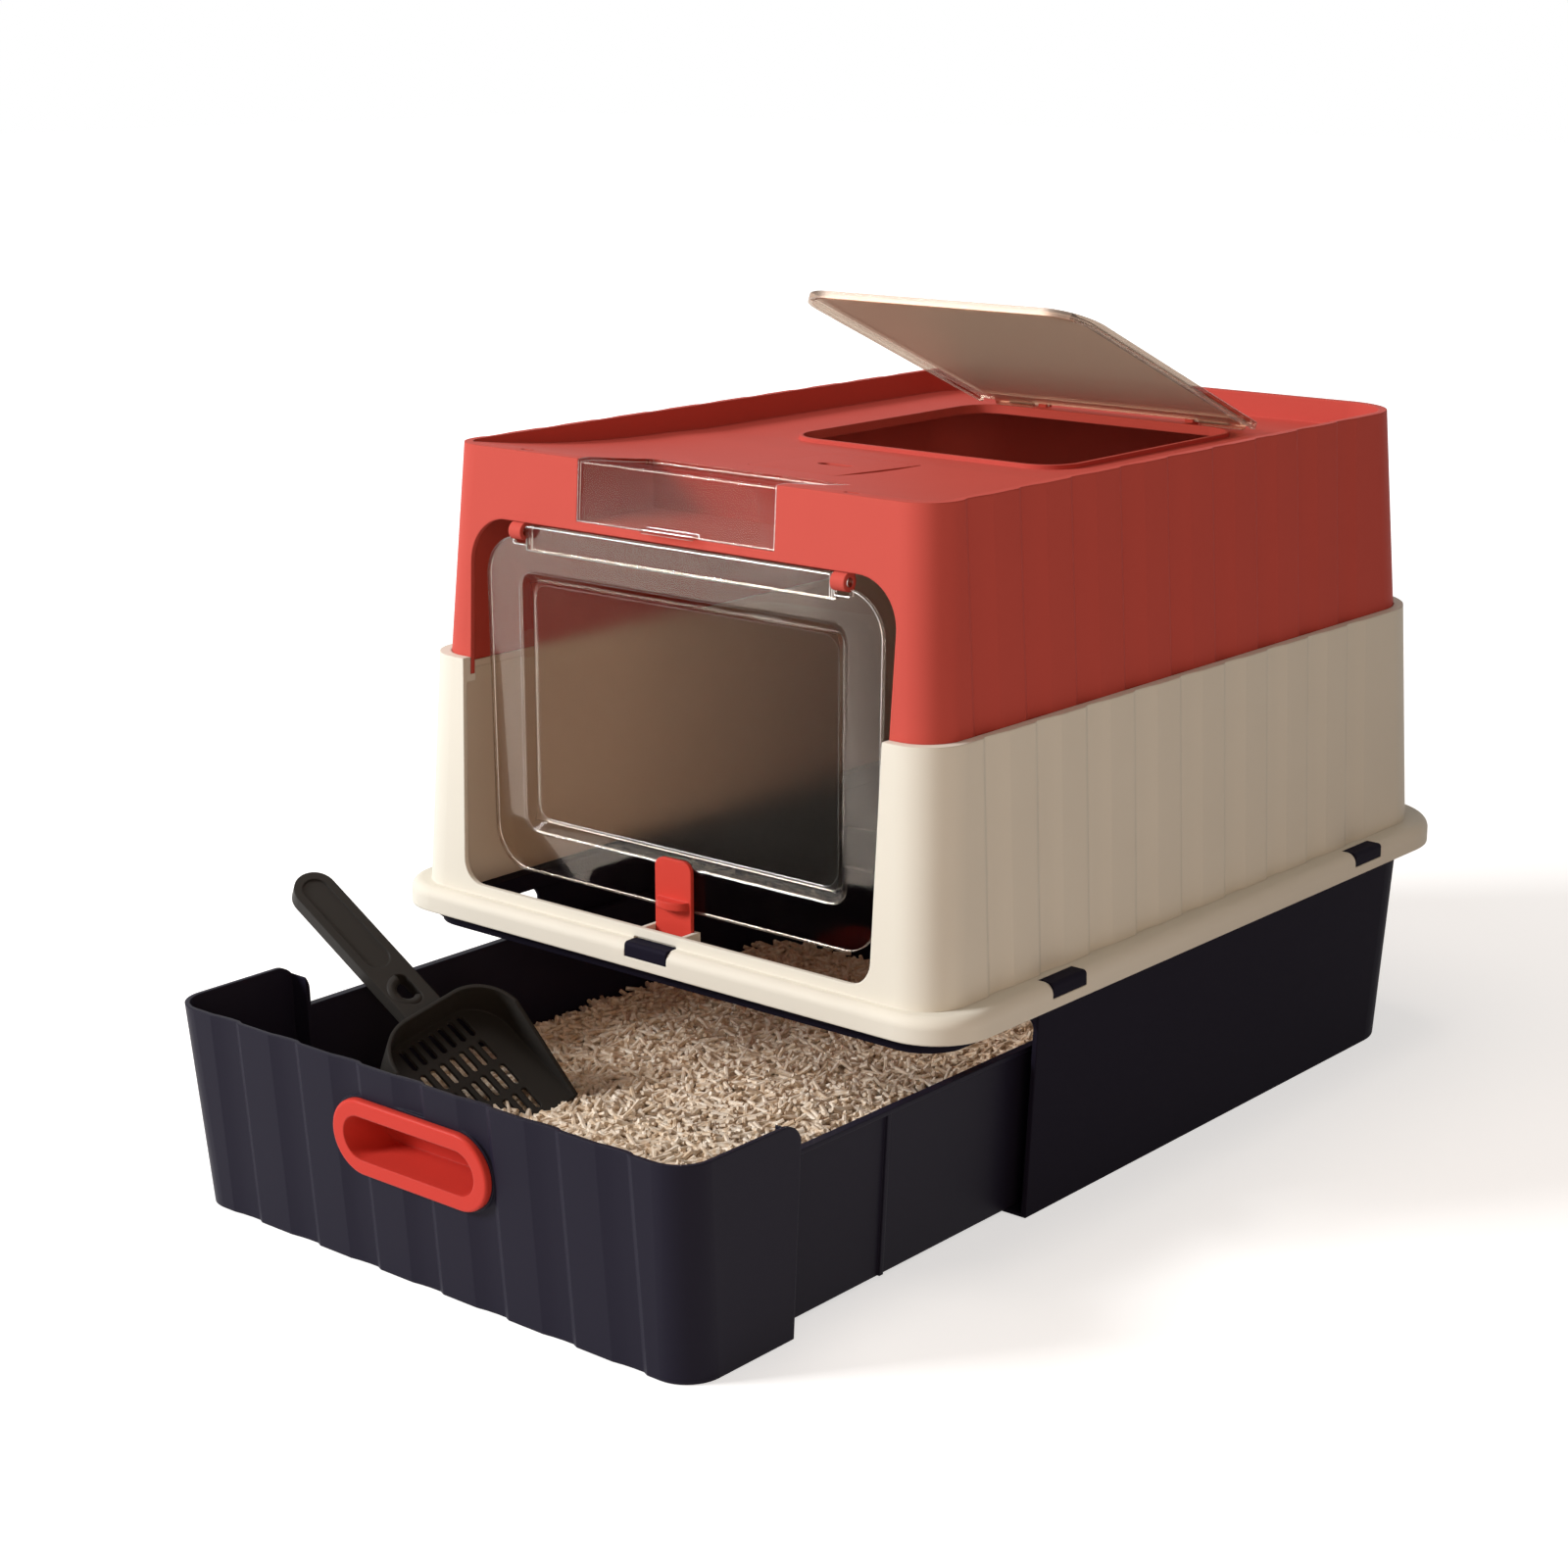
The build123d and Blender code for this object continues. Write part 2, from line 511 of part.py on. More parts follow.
with BuildPart() as middle_shell:
    with BuildSketch(Plane.XY.offset(RAIL_TOP)):
        add(tier_face(0, LEDGE_HALF, LEDGE_FRONT, LEDGE_REAR, LEDGE_FRONT_RADIUS, LEDGE_REAR_RADIUS))
    extrude(amount=LEDGE_HEIGHT)
    fillet(middle_shell.edges().group_by(Axis.Z)[-1], LEDGE_FILLET)
    loft([middle_face(RAIL_TOP, fluted=True), middle_face(MIDDLE_TOP, fluted=True)], ruled=True)
    loft([middle_face(RAIL_TOP - 1, WALL), middle_face(SEAT_TOP - SEAT_THICKNESS, WALL)],
         ruled=True, mode=Mode.SUBTRACT)
    loft([upper_face(SEAT_TOP - SEAT_THICKNESS - 1, SEAT_WIDTH), upper_face(MIDDLE_TOP + 1, SEAT_WIDTH)],
         ruled=True, mode=Mode.SUBTRACT)
    loft([upper_face(SEAT_TOP, -FIT), upper_face(MIDDLE_TOP + 1, -FIT)], ruled=True, mode=Mode.SUBTRACT)
    extrude(doorway_cut(), amount=-LEDGE_FRONT, mode=Mode.SUBTRACT)
    # two lipped cheeks behind the sill guide the flap latch
    cheek_root = MIDDLE_FRONT - MIDDLE_DRAFT * (MIDDLE_TOP - CHEEK_TOP) + WALL - 1
    with BuildSketch(Plane.XY.offset(RAIL_TOP + 1)):
        with BuildLine():
            inner = LATCH_HALF + FIT
            Polyline((inner, cheek_root), (inner + CHEEK_WIDTH, cheek_root),
                     (inner + CHEEK_WIDTH, LATCH_BACK + FIT + CHEEK_LIP),
                     (inner - CHEEK_LIP, LATCH_BACK + FIT + CHEEK_LIP),
                     (inner - CHEEK_LIP, LATCH_BACK + FIT), (inner, LATCH_BACK + FIT), close=True)
        make_face()
        mirror(about=Plane.YZ)
    extrude(amount=CHEEK_TOP - RAIL_TOP - 1)
    for place in CLIP_PLACES:
        add(clip_solid(*place, grow=FIT), mode=Mode.SUBTRACT)

middle_shell.part.label = "middle_shell"
export_step(middle_shell.part, "parts/middle_shell.step")

# ---------------------------------------------------------------- upper shell
# the air above the deck, inside the rim
with BuildPart() as deck_recess:
    loft([upper_face(DECK_FLAT_Z - 1, RIM_WIDTH), upper_face(UPPER_TOP + 1, RIM_WIDTH)], ruled=True)
    with BuildSketch(Plane.YZ):
        with BuildLine():
            deck_line()
            Polyline((DECK_FLAT, DECK_FLAT_Z), (-UPPER_FRONT, DECK_FLAT_Z), (-UPPER_FRONT, UPPER_TOP + 2),
                     (DECK_FRONT, UPPER_TOP + 2), (DECK_FRONT, UPPER_TOP))
        make_face()
    extrude(amount=UPPER_HALF, both=True, mode=Mode.INTERSECT)

# the air below the deck, less the blocks that hold the scent pocket and the deodoriser well
WELL_FLOOR = deck_z(WELL_REAR) - WELL_DEPTH
with BuildPart() as deck_hollow:
    loft([upper_face(SEAT_TOP - 1, WALL), upper_face(UPPER_TOP, WALL)], ruled=True)
    with BuildSketch(Plane.YZ):
        with BuildLine():
            deck_line(WALL)
            Polyline((DECK_FLAT, DECK_FLAT_Z - WALL), (-UPPER_FRONT * 2, DECK_FLAT_Z - WALL),
                     (-UPPER_FRONT * 2, 0), (UPPER_FRONT * 2, 0), (UPPER_FRONT * 2, UPPER_TOP - WALL),
                     (DECK_FRONT, UPPER_TOP - WALL))
        make_face()
    extrude(amount=UPPER_HALF * 2, both=True, mode=Mode.INTERSECT)
    with Locations((0, POCKET_REAR + POCKET_WALL, POCKET_BOTTOM - POCKET_WALL)):
        Box((POCKET_HALF + POCKET_WALL) * 2, POCKET_REAR - UPPER_FRONT * 2, UPPER_TOP - POCKET_BOTTOM + POCKET_WALL,
            align=(Align.CENTER, Align.MAX, Align.MIN), mode=Mode.SUBTRACT)
    with Locations((0, (WELL_FRONT + WELL_REAR) / 2, WELL_FLOOR - WALL)):
        Box((WELL_HALF + WALL) * 2, WELL_REAR - WELL_FRONT + WALL * 2, WELL_DEPTH * 2,
            align=(Align.CENTER, Align.CENTER, Align.MIN), mode=Mode.SUBTRACT)

HATCH_MIDDLE = (HATCH_FRONT + HATCH_REAR) / 2
HATCH_LENGTH = HATCH_REAR - HATCH_FRONT
WELL_MIDDLE = (WELL_FRONT + WELL_REAR) / 2
WELL_LENGTH = WELL_REAR - WELL_FRONT
WELL_TILT = degrees(atan((deck_z(WELL_REAR) - deck_z(WELL_FRONT)) / WELL_LENGTH))
WELL_TOP = Plane((0, WELL_MIDDLE, (deck_z(WELL_FRONT) + deck_z(WELL_REAR)) / 2)).rotated((WELL_TILT, 0, 0))
COVER_PIN_Y = POCKET_REAR - COVER_PIN_SETBACK
COVER_PIN_Z = deck_z(COVER_PIN_Y) - COVER_PIN_RADIUS - FIT

with BuildPart() as upper_shell:
    loft([upper_face(SEAT_TOP, fluted=True), upper_face(UPPER_TOP, fluted=True)], ruled=True)
    add(deck_hollow.part, mode=Mode.SUBTRACT)
    add(deck_recess.part, mode=Mode.SUBTRACT)
    extrude(doorway_cut(), amount=-UPPER_FRONT + WALL * 5, mode=Mode.SUBTRACT)
    # scent pocket, open at the front and the top
    with Locations((0, POCKET_REAR, POCKET_BOTTOM)):
        Box(POCKET_HALF * 2, POCKET_REAR - UPPER_FRONT * 2, UPPER_TOP, align=(Align.CENTER, Align.MAX, Align.MIN),
            mode=Mode.SUBTRACT)
    with Locations(Plane((0, COVER_PIN_Y, COVER_PIN_Z), x_dir=(0, 1, 0), z_dir=(1, 0, 0))):
        Cylinder(COVER_PIN_RADIUS + SNUG, (POCKET_HALF + COVER_PIN_REACH) * 2, mode=Mode.SUBTRACT)
    # deodoriser well with a lip for its cover
    for amount in (-DEODORISER_COVER_THICKNESS, WALL):
        with BuildSketch(WELL_TOP):
            RectangleRounded((WELL_HALF + FIT) * 2, WELL_LENGTH + FIT * 2, 4)
        extrude(amount=amount, mode=Mode.SUBTRACT)
    with BuildSketch(Plane.XY.offset(WELL_FLOOR)):
        with Locations((0, WELL_MIDDLE)):
            RectangleRounded((WELL_HALF - WELL_LIP) * 2, WELL_LENGTH - WELL_LIP * 2, 4)
    extrude(amount=WELL_DEPTH, mode=Mode.SUBTRACT)
    # hatch with a raised lip, and the hinge block behind it
    with BuildSketch(Plane.XY.offset(DECK_FLAT_Z - 1)):
        with Locations((0, HATCH_MIDDLE)):
            RectangleRounded((HATCH_HALF + HATCH_LIP) * 2, HATCH_LENGTH + HATCH_LIP * 2, HATCH_RADIUS + HATCH_LIP)
    extrude(amount=HATCH_LIP_HEIGHT + 1)
    with Locations((0, LID_AXIS_Y, DECK_FLAT_Z - 1)):
        Box(HINGE_BLOCK_HALF * 2, HINGE_BLOCK_DEPTH, HATCH_LIP_HEIGHT + 1,
            align=(Align.CENTER, Align.MAX, Align.MIN))
    for side in (1, -1):
        with Locations(Plane((side * HINGE_BLOCK_HALF, LID_AXIS_Y, LID_AXIS_Z), x_dir=(0, 1, 0),
                             z_dir=(-side, 0, 0))):
            Cylinder(LID_BARREL_RADIUS, HINGE_EAR, align=(Align.CENTER, Align.CENTER, Align.MIN))
        with Locations((side * HINGE_BLOCK_HALF, LID_AXIS_Y, LID_AXIS_Z)):
            Box(HINGE_EAR, LID_BARREL_RADIUS * 2, LID_AXIS_Z - DECK_FLAT_Z + 1,
                align=(Align.MAX if side > 0 else Align.MIN, Align.CENTER, Align.MAX))
        with Locations(Plane((side * (HINGE_BLOCK_HALF + 1), LID_AXIS_Y, LID_AXIS_Z), x_dir=(0, 1, 0),
                             z_dir=(-side, 0, 0))):
            Cylinder(LID_PIN_RADIUS + SNUG, HINGE_EAR + 1, align=(Align.CENTER, Align.CENTER, Align.MIN),
                     mode=Mode.SUBTRACT)
    with BuildSketch(Plane.XY.offset(DECK_FLAT_Z - WALL * 2)):
        with Locations((0, HATCH_MIDDLE)):
            RectangleRounded(HATCH_HALF * 2, HATCH_LENGTH, HATCH_RADIUS)
    extrude(amount=WALL * 2 + HATCH_LIP_HEIGHT, mode=Mode.SUBTRACT)
    # slots above the flap's hangers
    with BuildSketch(Plane.XY.offset(UPPER_TOP - WALL * 2)):
        with Locations((HANGER_X, UPPER_FRONT + HANGER_SLOT_SETBACK), (-HANGER_X, UPPER_FRONT + HANGER_SLOT_SETBACK)):
            Rectangle(*HANGER_SLOT)
    extrude(amount=WALL * 2, mode=Mode.SUBTRACT)

upper_shell.part.label = "upper_shell"
export_step(upper_shell.part, "parts/upper_shell.step")

# ---------------------------------------------------------------- flap hangers
def front_wall_y(z):
    """Outer face of the upper shell's front wall at height z."""
    return UPPER_FRONT - UPPER_DRAFT * (UPPER_TOP - z)


with BuildPart() as door_hangers:
    low = HINGE_Z - HANGER_RADIUS
    high = low + HANGER_TONGUE
    root_low = front_wall_y(low) + WALL + FIT / 3
    root_high = front_wall_y(high) + WALL + FIT / 3
    for x in (HANGER_X, -HANGER_X):
        with BuildSketch(Plane.YZ.offset(x)):
            with Locations((HINGE_Y, HINGE_Z)):
                Circle(HANGER_RADIUS)
            with BuildLine():
                Polyline((root_low, low), (root_high, high), (root_high + HANGER_TONGUE_THICKNESS, high),
                         (root_low + HANGER_TONGUE_THICKNESS, low), close=True)
            make_face()
            with Locations((HINGE_Y, HINGE_Z)):
                Rectangle(root_low - HINGE_Y + 1, HANGER_RADIUS * 2, align=(Align.MIN, Align.CENTER))
            with Locations((HINGE_Y, HINGE_Z)):
                Circle(HINGE_PIN_RADIUS + SNUG, mode=Mode.SUBTRACT)
        extrude(amount=HANGER_WIDTH / 2, both=True)

door_hangers.part.label = "door_hangers"
export_step(door_hangers.part, "parts/door_hangers.step")

# ---------------------------------------------------------------- front flap
FLAP_BACK = FLAP_FACE + FLAP_THICKNESS
FLAP_FRONT_PLANE = Plane((0, FLAP_FACE, 0), x_dir=(1, 0, 0), z_dir=(0, -1, 0))


def dish_face(y, inset):
    """The dished middle panel's outline at depth y."""
    with BuildSketch(Plane((0, y, 0), x_dir=(1, 0, 0), z_dir=(0, -1, 0))) as outline:
        with Locations((0, (DISH_BOTTOM + DISH_TOP) / 2)):
            RectangleRounded((DISH_HALF - inset) * 2, DISH_TOP - DISH_BOTTOM - inset * 2, DISH_RADIUS)
    return outline.sketch.face()


with BuildPart() as front_door:
    with BuildSketch(FLAP_FRONT_PLANE) as flap_outline:
        with BuildLine():
            Polyline((-FLAP_BOTTOM_HALF, FLAP_BOTTOM), (FLAP_BOTTOM_HALF, FLAP_BOTTOM), (FLAP_TOP_HALF, FLAP_TOP),
                     (-FLAP_TOP_HALF, FLAP_TOP), close=True)
        make_face()
        fillet(flap_outline.vertices(), FLAP_RADIUS)
    extrude(amount=-FLAP_THICKNESS)
    loft([dish_face(FLAP_FACE + 0.5, 0), dish_face(FLAP_BACK + DISH_DEPTH, DISH_BEVEL)], ruled=True)
    loft([dish_face(FLAP_FACE, FLAP_THICKNESS), dish_face(FLAP_FACE + DISH_DEPTH, DISH_BEVEL + FLAP_THICKNESS)],
         ruled=True, mode=Mode.SUBTRACT)
    with Locations((0, HINGE_Y, HINGE_RAIL_BOTTOM)):
        Box(HINGE_RAIL_HALF * 2, HINGE_RAIL_DEPTH, HINGE_RAIL_TOP - HINGE_RAIL_BOTTOM,
            align=(Align.CENTER, Align.CENTER, Align.MIN))
    with Locations((HANGER_X, FLAP_FACE, HINGE_Z - HANGER_NOTCH), (-HANGER_X, FLAP_FACE, HINGE_Z - HANGER_NOTCH)):
        Box(HANGER_WIDTH + FIT * 4, FLAP_THICKNESS * 4, HANGER_NOTCH, align=(Align.CENTER, Align.CENTER, Align.MIN),
            mode=Mode.SUBTRACT)
    pin_reach = HANGER_X + HANGER_WIDTH / 2
    with Locations(Plane((0, HINGE_Y, HINGE_Z), x_dir=(0, 1, 0), z_dir=(1, 0, 0))):
        Cylinder(HINGE_PIN_RADIUS, pin_reach * 2)

front_door.part.label = "front_door"
export_step(front_door.part, "parts/front_door.step")

# ---------------------------------------------------------------- flap latch
with BuildPart() as door_latch:
    with BuildSketch(Plane((0, LATCH_FRONT, 0), x_dir=(1, 0, 0), z_dir=(0, -1, 0))) as latch_outline:
        with BuildLine():
            Polyline((-LATCH_HALF, LATCH_BOTTOM), (LATCH_HALF, LATCH_BOTTOM), (LATCH_HALF, LATCH_TOP),
                     (-LATCH_HALF, LATCH_TOP), close=True)
        make_face()
        fillet(latch_outline.vertices().group_by(Axis.Y)[-1], LATCH_RADIUS)
    extrude(amount=-LATCH_THICKNESS)
    with BuildSketch(Plane.XY.offset(LATCH_LEDGE_Z)):
        with Locations((0, LATCH_FRONT)):
            Ellipse(LATCH_LEDGE_HALF, LATCH_LEDGE_REACH)
            with Locations((0, 0.5)):
                Rectangle(LATCH_LEDGE_HALF * 2, LATCH_LEDGE_REACH * 2, align=(Align.CENTER, Align.MIN),
                          mode=Mode.SUBTRACT)
    extrude(amount=LATCH_LEDGE_HEIGHT)

door_latch.part.label = "door_latch"
export_step(door_latch.part, "parts/door_latch.step")

# ---------------------------------------------------------------- scent pocket cover
COVER_HALF = POCKET_HALF - FIT

with BuildPart() as pocket_cover:
    cover_bottom = POCKET_BOTTOM + FIT
    cover_rear = POCKET_REAR - FIT
    with BuildSketch(Plane.YZ):
        with BuildLine():
            Polyline((front_wall_y(cover_bottom), cover_bottom), (UPPER_FRONT, UPPER_TOP), (DECK_FRONT, UPPER_TOP),
                     (cover_rear, deck_z(POCKET_REAR)), (cover_rear, deck_z(POCKET_REAR) - COVER_THICKNESS),
                     (DECK_FRONT, UPPER_TOP - COVER_THICKNESS),
                     (UPPER_FRONT + COVER_THICKNESS, UPPER_TOP - COVER_THICKNESS),
                     (front_wall_y(cover_bottom) + COVER_THICKNESS, cover_bottom), close=True)
        make_face()
    extrude(amount=COVER_HALF, both=True)
    ridge = pocket_cover.edges().filter_by(Axis.X).filter_by(
        lambda edge: abs(edge.center().Y - UPPER_FRONT) < 0.1 and edge.center().Z > UPPER_TOP - 0.1)
    fillet(ridge, COVER_THICKNESS * 0.7)
    with BuildSketch(Plane.XY.offset(cover_bottom)):
        with Locations((0, front_wall_y(cover_bottom))):
            RectangleRounded(COVER_LIP_HALF * 2, COVER_LIP_REACH * 2, 2)
            with Locations((0, COVER_THICKNESS / 2)):
                Rectangle(COVER_LIP_HALF * 2, COVER_LIP_REACH * 2, align=(Align.CENTER, Align.MIN),
                          mode=Mode.SUBTRACT)
    extrude(amount=COVER_LIP_THICKNESS)
    with BuildSketch(Plane.YZ):
        with Locations((COVER_PIN_Y, COVER_PIN_Z)):
            Circle(COVER_PIN_RADIUS)
    extrude(amount=POCKET_HALF + COVER_PIN_REACH - FIT, both=True)

pocket_cover.part.label = "pocket_cover"
export_step(pocket_cover.part, "parts/pocket_cover.step")

# ---------------------------------------------------------------- deodoriser cover and pad
with BuildPart() as deodoriser_cover:
    with BuildSketch(WELL_TOP):
        RectangleRounded(WELL_HALF * 2 - FIT, WELL_LENGTH - FIT, 4)
        SlotOverall(*FINGER_SLOT, mode=Mode.SUBTRACT)
    extrude(amount=-DEODORISER_COVER_THICKNESS)

deodoriser_cover.part.label = "deodoriser_cover"
export_step(deodoriser_cover.part, "parts/deodoriser_cover.step")

with BuildPart() as deodoriser_pad:
    with BuildSketch(Plane.XY.offset(WELL_FLOOR)):
        with Locations((0, WELL_MIDDLE)):
            RectangleRounded((WELL_HALF - WELL_LIP - PAD_MARGIN) * 2, WELL_LENGTH - (WELL_LIP + PAD_MARGIN) * 2, 3)
    extrude(amount=PAD_HEIGHT)

deodoriser_pad.part.label = "deodoriser_pad"
export_step(deodoriser_pad.part, "parts/deodoriser_pad.step")

# ---------------------------------------------------------------- top lid and its hinge pins
LID_PLANE = Plane((0, LID_AXIS_Y, LID_AXIS_Z), x_dir=(1, 0, 0),
                  z_dir=(0, sin(radians(LID_OPEN)), cos(radians(LID_OPEN))))
LID_REAR = LID_BARREL_RADIUS + 1.2
LID_FACE = LID_THICKNESS / 2


def lid_outline(inset, rear):
    """The lid's outline, moved in by inset, as far back as rear."""
    with BuildSketch(mode=Mode.PRIVATE) as outline:
        with BuildLine():
            Polyline((-LID_HALF + inset, rear), (LID_HALF - inset, rear), (LID_HALF - inset, inset - LID_LENGTH),
                     (-LID_HALF + inset, inset - LID_LENGTH), close=True)
        make_face()
        fillet(outline.vertices().group_by(Axis.Y)[0], LID_RADIUS - inset)
    return outline.sketch.face()


with BuildPart() as top_lid:
    with BuildSketch(LID_PLANE.offset(-LID_FACE)):
        add(lid_outline(0, -LID_REAR))
    extrude(amount=LID_THICKNESS)
    # the edge turns down along the front and both sides
    with BuildSketch(LID_PLANE.offset(-LID_FACE - LID_BEAD_HEIGHT)):
        add(lid_outline(0, -LID_REAR))
        add(lid_outline(LID_BEAD, 0), mode=Mode.SUBTRACT)
    extrude(amount=LID_BEAD_HEIGHT)
    with BuildSketch(LID_PLANE.offset(LID_FACE)):
        add(lid_outline(LID_LINE_INSET, -LID_REAR - LID_LINE_INSET))
        add(lid_outline(LID_LINE_INSET + LID_LINE, -LID_REAR - LID_LINE_INSET - LID_LINE), mode=Mode.SUBTRACT)
    extrude(amount=LID_LINE_HEIGHT)
    # hinge barrels behind the plate
    for side in (1, -1):
        middle = side * (LID_BARREL_X[0] + LID_BARREL_X[1]) / 2
        length = LID_BARREL_X[1] - LID_BARREL_X[0]
        with Locations(Plane((middle, LID_AXIS_Y, LID_AXIS_Z), x_dir=(0, 1, 0), z_dir=(1, 0, 0))):
            Cylinder(LID_BARREL_RADIUS, length)
        with Locations(LID_PLANE):
            with Locations((middle, -LID_REAR / 2 - 1, 0)):
                Box(length, LID_REAR + 2, LID_THICKNESS)
        with Locations(Plane((side * (LID_BARREL_X[0] - 1), LID_AXIS_Y, LID_AXIS_Z), x_dir=(0, 1, 0),
                             z_dir=(side, 0, 0))):
            Cylinder(LID_PIN_RADIUS, LID_PIN_GRIP + 1, align=(Align.CENTER, Align.CENTER, Align.MIN),
                     mode=Mode.SUBTRACT)

top_lid.part.label = "top_lid"
export_step(top_lid.part, "parts/top_lid.step")

with BuildPart() as lid_hinge_pins:
    pin_start = HINGE_BLOCK_HALF - HINGE_EAR + FIT
    for side in (1, -1):
        with Locations(Plane((side * pin_start, LID_AXIS_Y, LID_AXIS_Z), x_dir=(0, 1, 0), z_dir=(side, 0, 0))):
            Cylinder(LID_PIN_RADIUS, LID_BARREL_X[0] + LID_PIN_GRIP - pin_start,
                     align=(Align.CENTER, Align.CENTER, Align.MIN))

lid_hinge_pins.part.label = "lid_hinge_pins"
export_step(lid_hinge_pins.part, "parts/lid_hinge_pins.step")

# ---------------------------------------------------------------- drawer
HANDLE_PLANE = Plane((0, front_panel_y(HANDLE_Z), HANDLE_Z), x_dir=(1, 0, 0), z_dir=(0, -1, -FRONT_PANEL_LEAN))
CUP_LENGTH = HANDLE_LENGTH - HANDLE_RING * 2
CUP_HEIGHT = HANDLE_HEIGHT - HANDLE_RING * 2
INSIDE_FLOOR = TUB_BOTTOM + TUB_FLOOR

with BuildPart() as drawer_tub:
    loft([front_panel_face(FRONT_PANEL_BOTTOM), front_panel_face(FRONT_PANEL_TOP)], ruled=True)
    loft([tub_face(TUB_BOTTOM), tub_face(TUB_TOP)], ruled=True)
    loft([tub_face(TUB_TOP - TUB_RIM_THICKNESS, DRAWER_WALL - TUB_RIM, WING_REAR - DRAWER_WALL),
          tub_face(TUB_TOP, DRAWER_WALL - TUB_RIM, WING_REAR - DRAWER_WALL)], ruled=True)
    for y in RIB_Y:
        for side in (1, -1):
            with BuildSketch(Plane.XZ.offset(-y)):
                with BuildLine():
                    root = TUB_HALF - 1
                    Polyline((side * root, TUB_BOTTOM), (side * (TUB_HALF + RIB_PROUD), TUB_BOTTOM),
                             (side * (TUB_HALF + TUB_DRAFT * TUB_TOP + RIB_PROUD), TUB_TOP - 1),
                             (side * root, TUB_TOP - 1), close=True)
                make_face()
            extrude(amount=RIB_WIDTH / 2, both=True)
    # hollows of the front part and of the tub behind it
    loft([front_panel_face(INSIDE_FLOOR, DRAWER_WALL), front_panel_face(FRONT_PANEL_TOP + 1, DRAWER_WALL)],
         ruled=True, mode=Mode.SUBTRACT)
    loft([tub_face(INSIDE_FLOOR, DRAWER_WALL), tub_face(FRONT_PANEL_TOP + 1, DRAWER_WALL)],
         ruled=True, mode=Mode.SUBTRACT)
    # the top rear corner of each wing is rounded
    with BuildSketch(Plane.YZ):
        with Locations((WING_REAR, FRONT_PANEL_TOP)):
            Rectangle(WING_RADIUS, WING_RADIUS, align=(Align.MAX, Align.MAX))
        with Locations((WING_REAR - WING_RADIUS, FRONT_PANEL_TOP - WING_RADIUS)):
            Circle(WING_RADIUS, mode=Mode.SUBTRACT)
    extrude(amount=FRONT_PANEL_HALF * 2, both=True, mode=Mode.SUBTRACT)
    # flat seat and opening for the handle
    with BuildSketch(HANDLE_PLANE):
        SlotOverall(HANDLE_LENGTH + DRAWER_WALL, HANDLE_HEIGHT + DRAWER_WALL)
    extrude(amount=-DRAWER_WALL - FLUTE_DEPTH)
    with BuildSketch(HANDLE_PLANE):
        SlotOverall(CUP_LENGTH + FIT * 2, CUP_HEIGHT + FIT * 2)
    extrude(amount=-HANDLE_CUP_DEPTH, mode=Mode.SUBTRACT)

drawer_tub.part.label = "drawer_tub"
export_step(drawer_tub.part, "parts/drawer_tub.step")

with BuildPart() as drawer_handle:
    with BuildSketch(HANDLE_PLANE):
        SlotOverall(HANDLE_LENGTH, HANDLE_HEIGHT)
    extrude(amount=HANDLE_PROUD)
    fillet(drawer_handle.faces().sort_by(Axis.Y)[0].edges(), HANDLE_EDGE)
    with BuildSketch(HANDLE_PLANE):
        SlotOverall(CUP_LENGTH, CUP_HEIGHT)
    extrude(amount=-HANDLE_CUP_DEPTH)
    with BuildSketch(HANDLE_PLANE.offset(HANDLE_PROUD)):
        SlotOverall(CUP_LENGTH - HANDLE_CUP_WALL * 2, CUP_HEIGHT - HANDLE_CUP_WALL * 2)
    extrude(amount=-HANDLE_PROUD - HANDLE_CUP_DEPTH + HANDLE_CUP_WALL, mode=Mode.SUBTRACT)

drawer_handle.part.label = "drawer_handle"
export_step(drawer_handle.part, "parts/drawer_handle.step")

# ---------------------------------------------------------------- litter
SCOOP_PLANE = Plane(SCOOP_TIP, x_dir=SCOOP_FORWARD, z_dir=SCOOP_FORWARD.cross(SCOOP_ACROSS))
LITTER_INSET = DRAWER_WALL + FIT / 3
LITTER_BOTTOM = INSIDE_FLOOR + FIT / 3
LITTER_SLOPE = Plane((FRONT_PANEL_HALF / 3, FRONT_PANEL_Y, LITTER_TOP),
                     z_dir=(LITTER_LOW - LITTER_TOP, LITTER_LOW - LITTER_TOP, FRONT_PANEL_HALF * 4 / 3))

with BuildPart() as litter_bed:
    loft([front_panel_face(LITTER_BOTTOM, LITTER_INSET), front_panel_face(LITTER_TOP, LITTER_INSET)], ruled=True)
    loft([tub_face(LITTER_BOTTOM, LITTER_INSET), tub_face(LITTER_TOP, LITTER_INSET)], ruled=True)
    with Locations(LITTER_SLOPE):
        Box(TUB_HALF * 4, TUB_HALF * 8, LITTER_TOP, align=(Align.CENTER, Align.CENTER, Align.MIN),
            mode=Mode.SUBTRACT)
    # the hollow that the scoop has dug
    with Locations(SCOOP_PLANE):
        with Locations((FIT, SCOOP_HALF + 1, -FIT)):
            Box(SCOOP_BLADE + FIT * 2, SCOOP_HALF * 2 + 1 + HOLLOW_SIDE, SCOOP_BLADE,
                align=(Align.MAX, Align.MAX, Align.MIN), mode=Mode.SUBTRACT)

litter_bed.part.label = "litter_bed"
export_step(litter_bed.part, "parts/litter_bed.step")

# ---------------------------------------------------------------- scoop
SCOOP_REAR = -SCOOP_BLADE - SCOOP_HANDLE


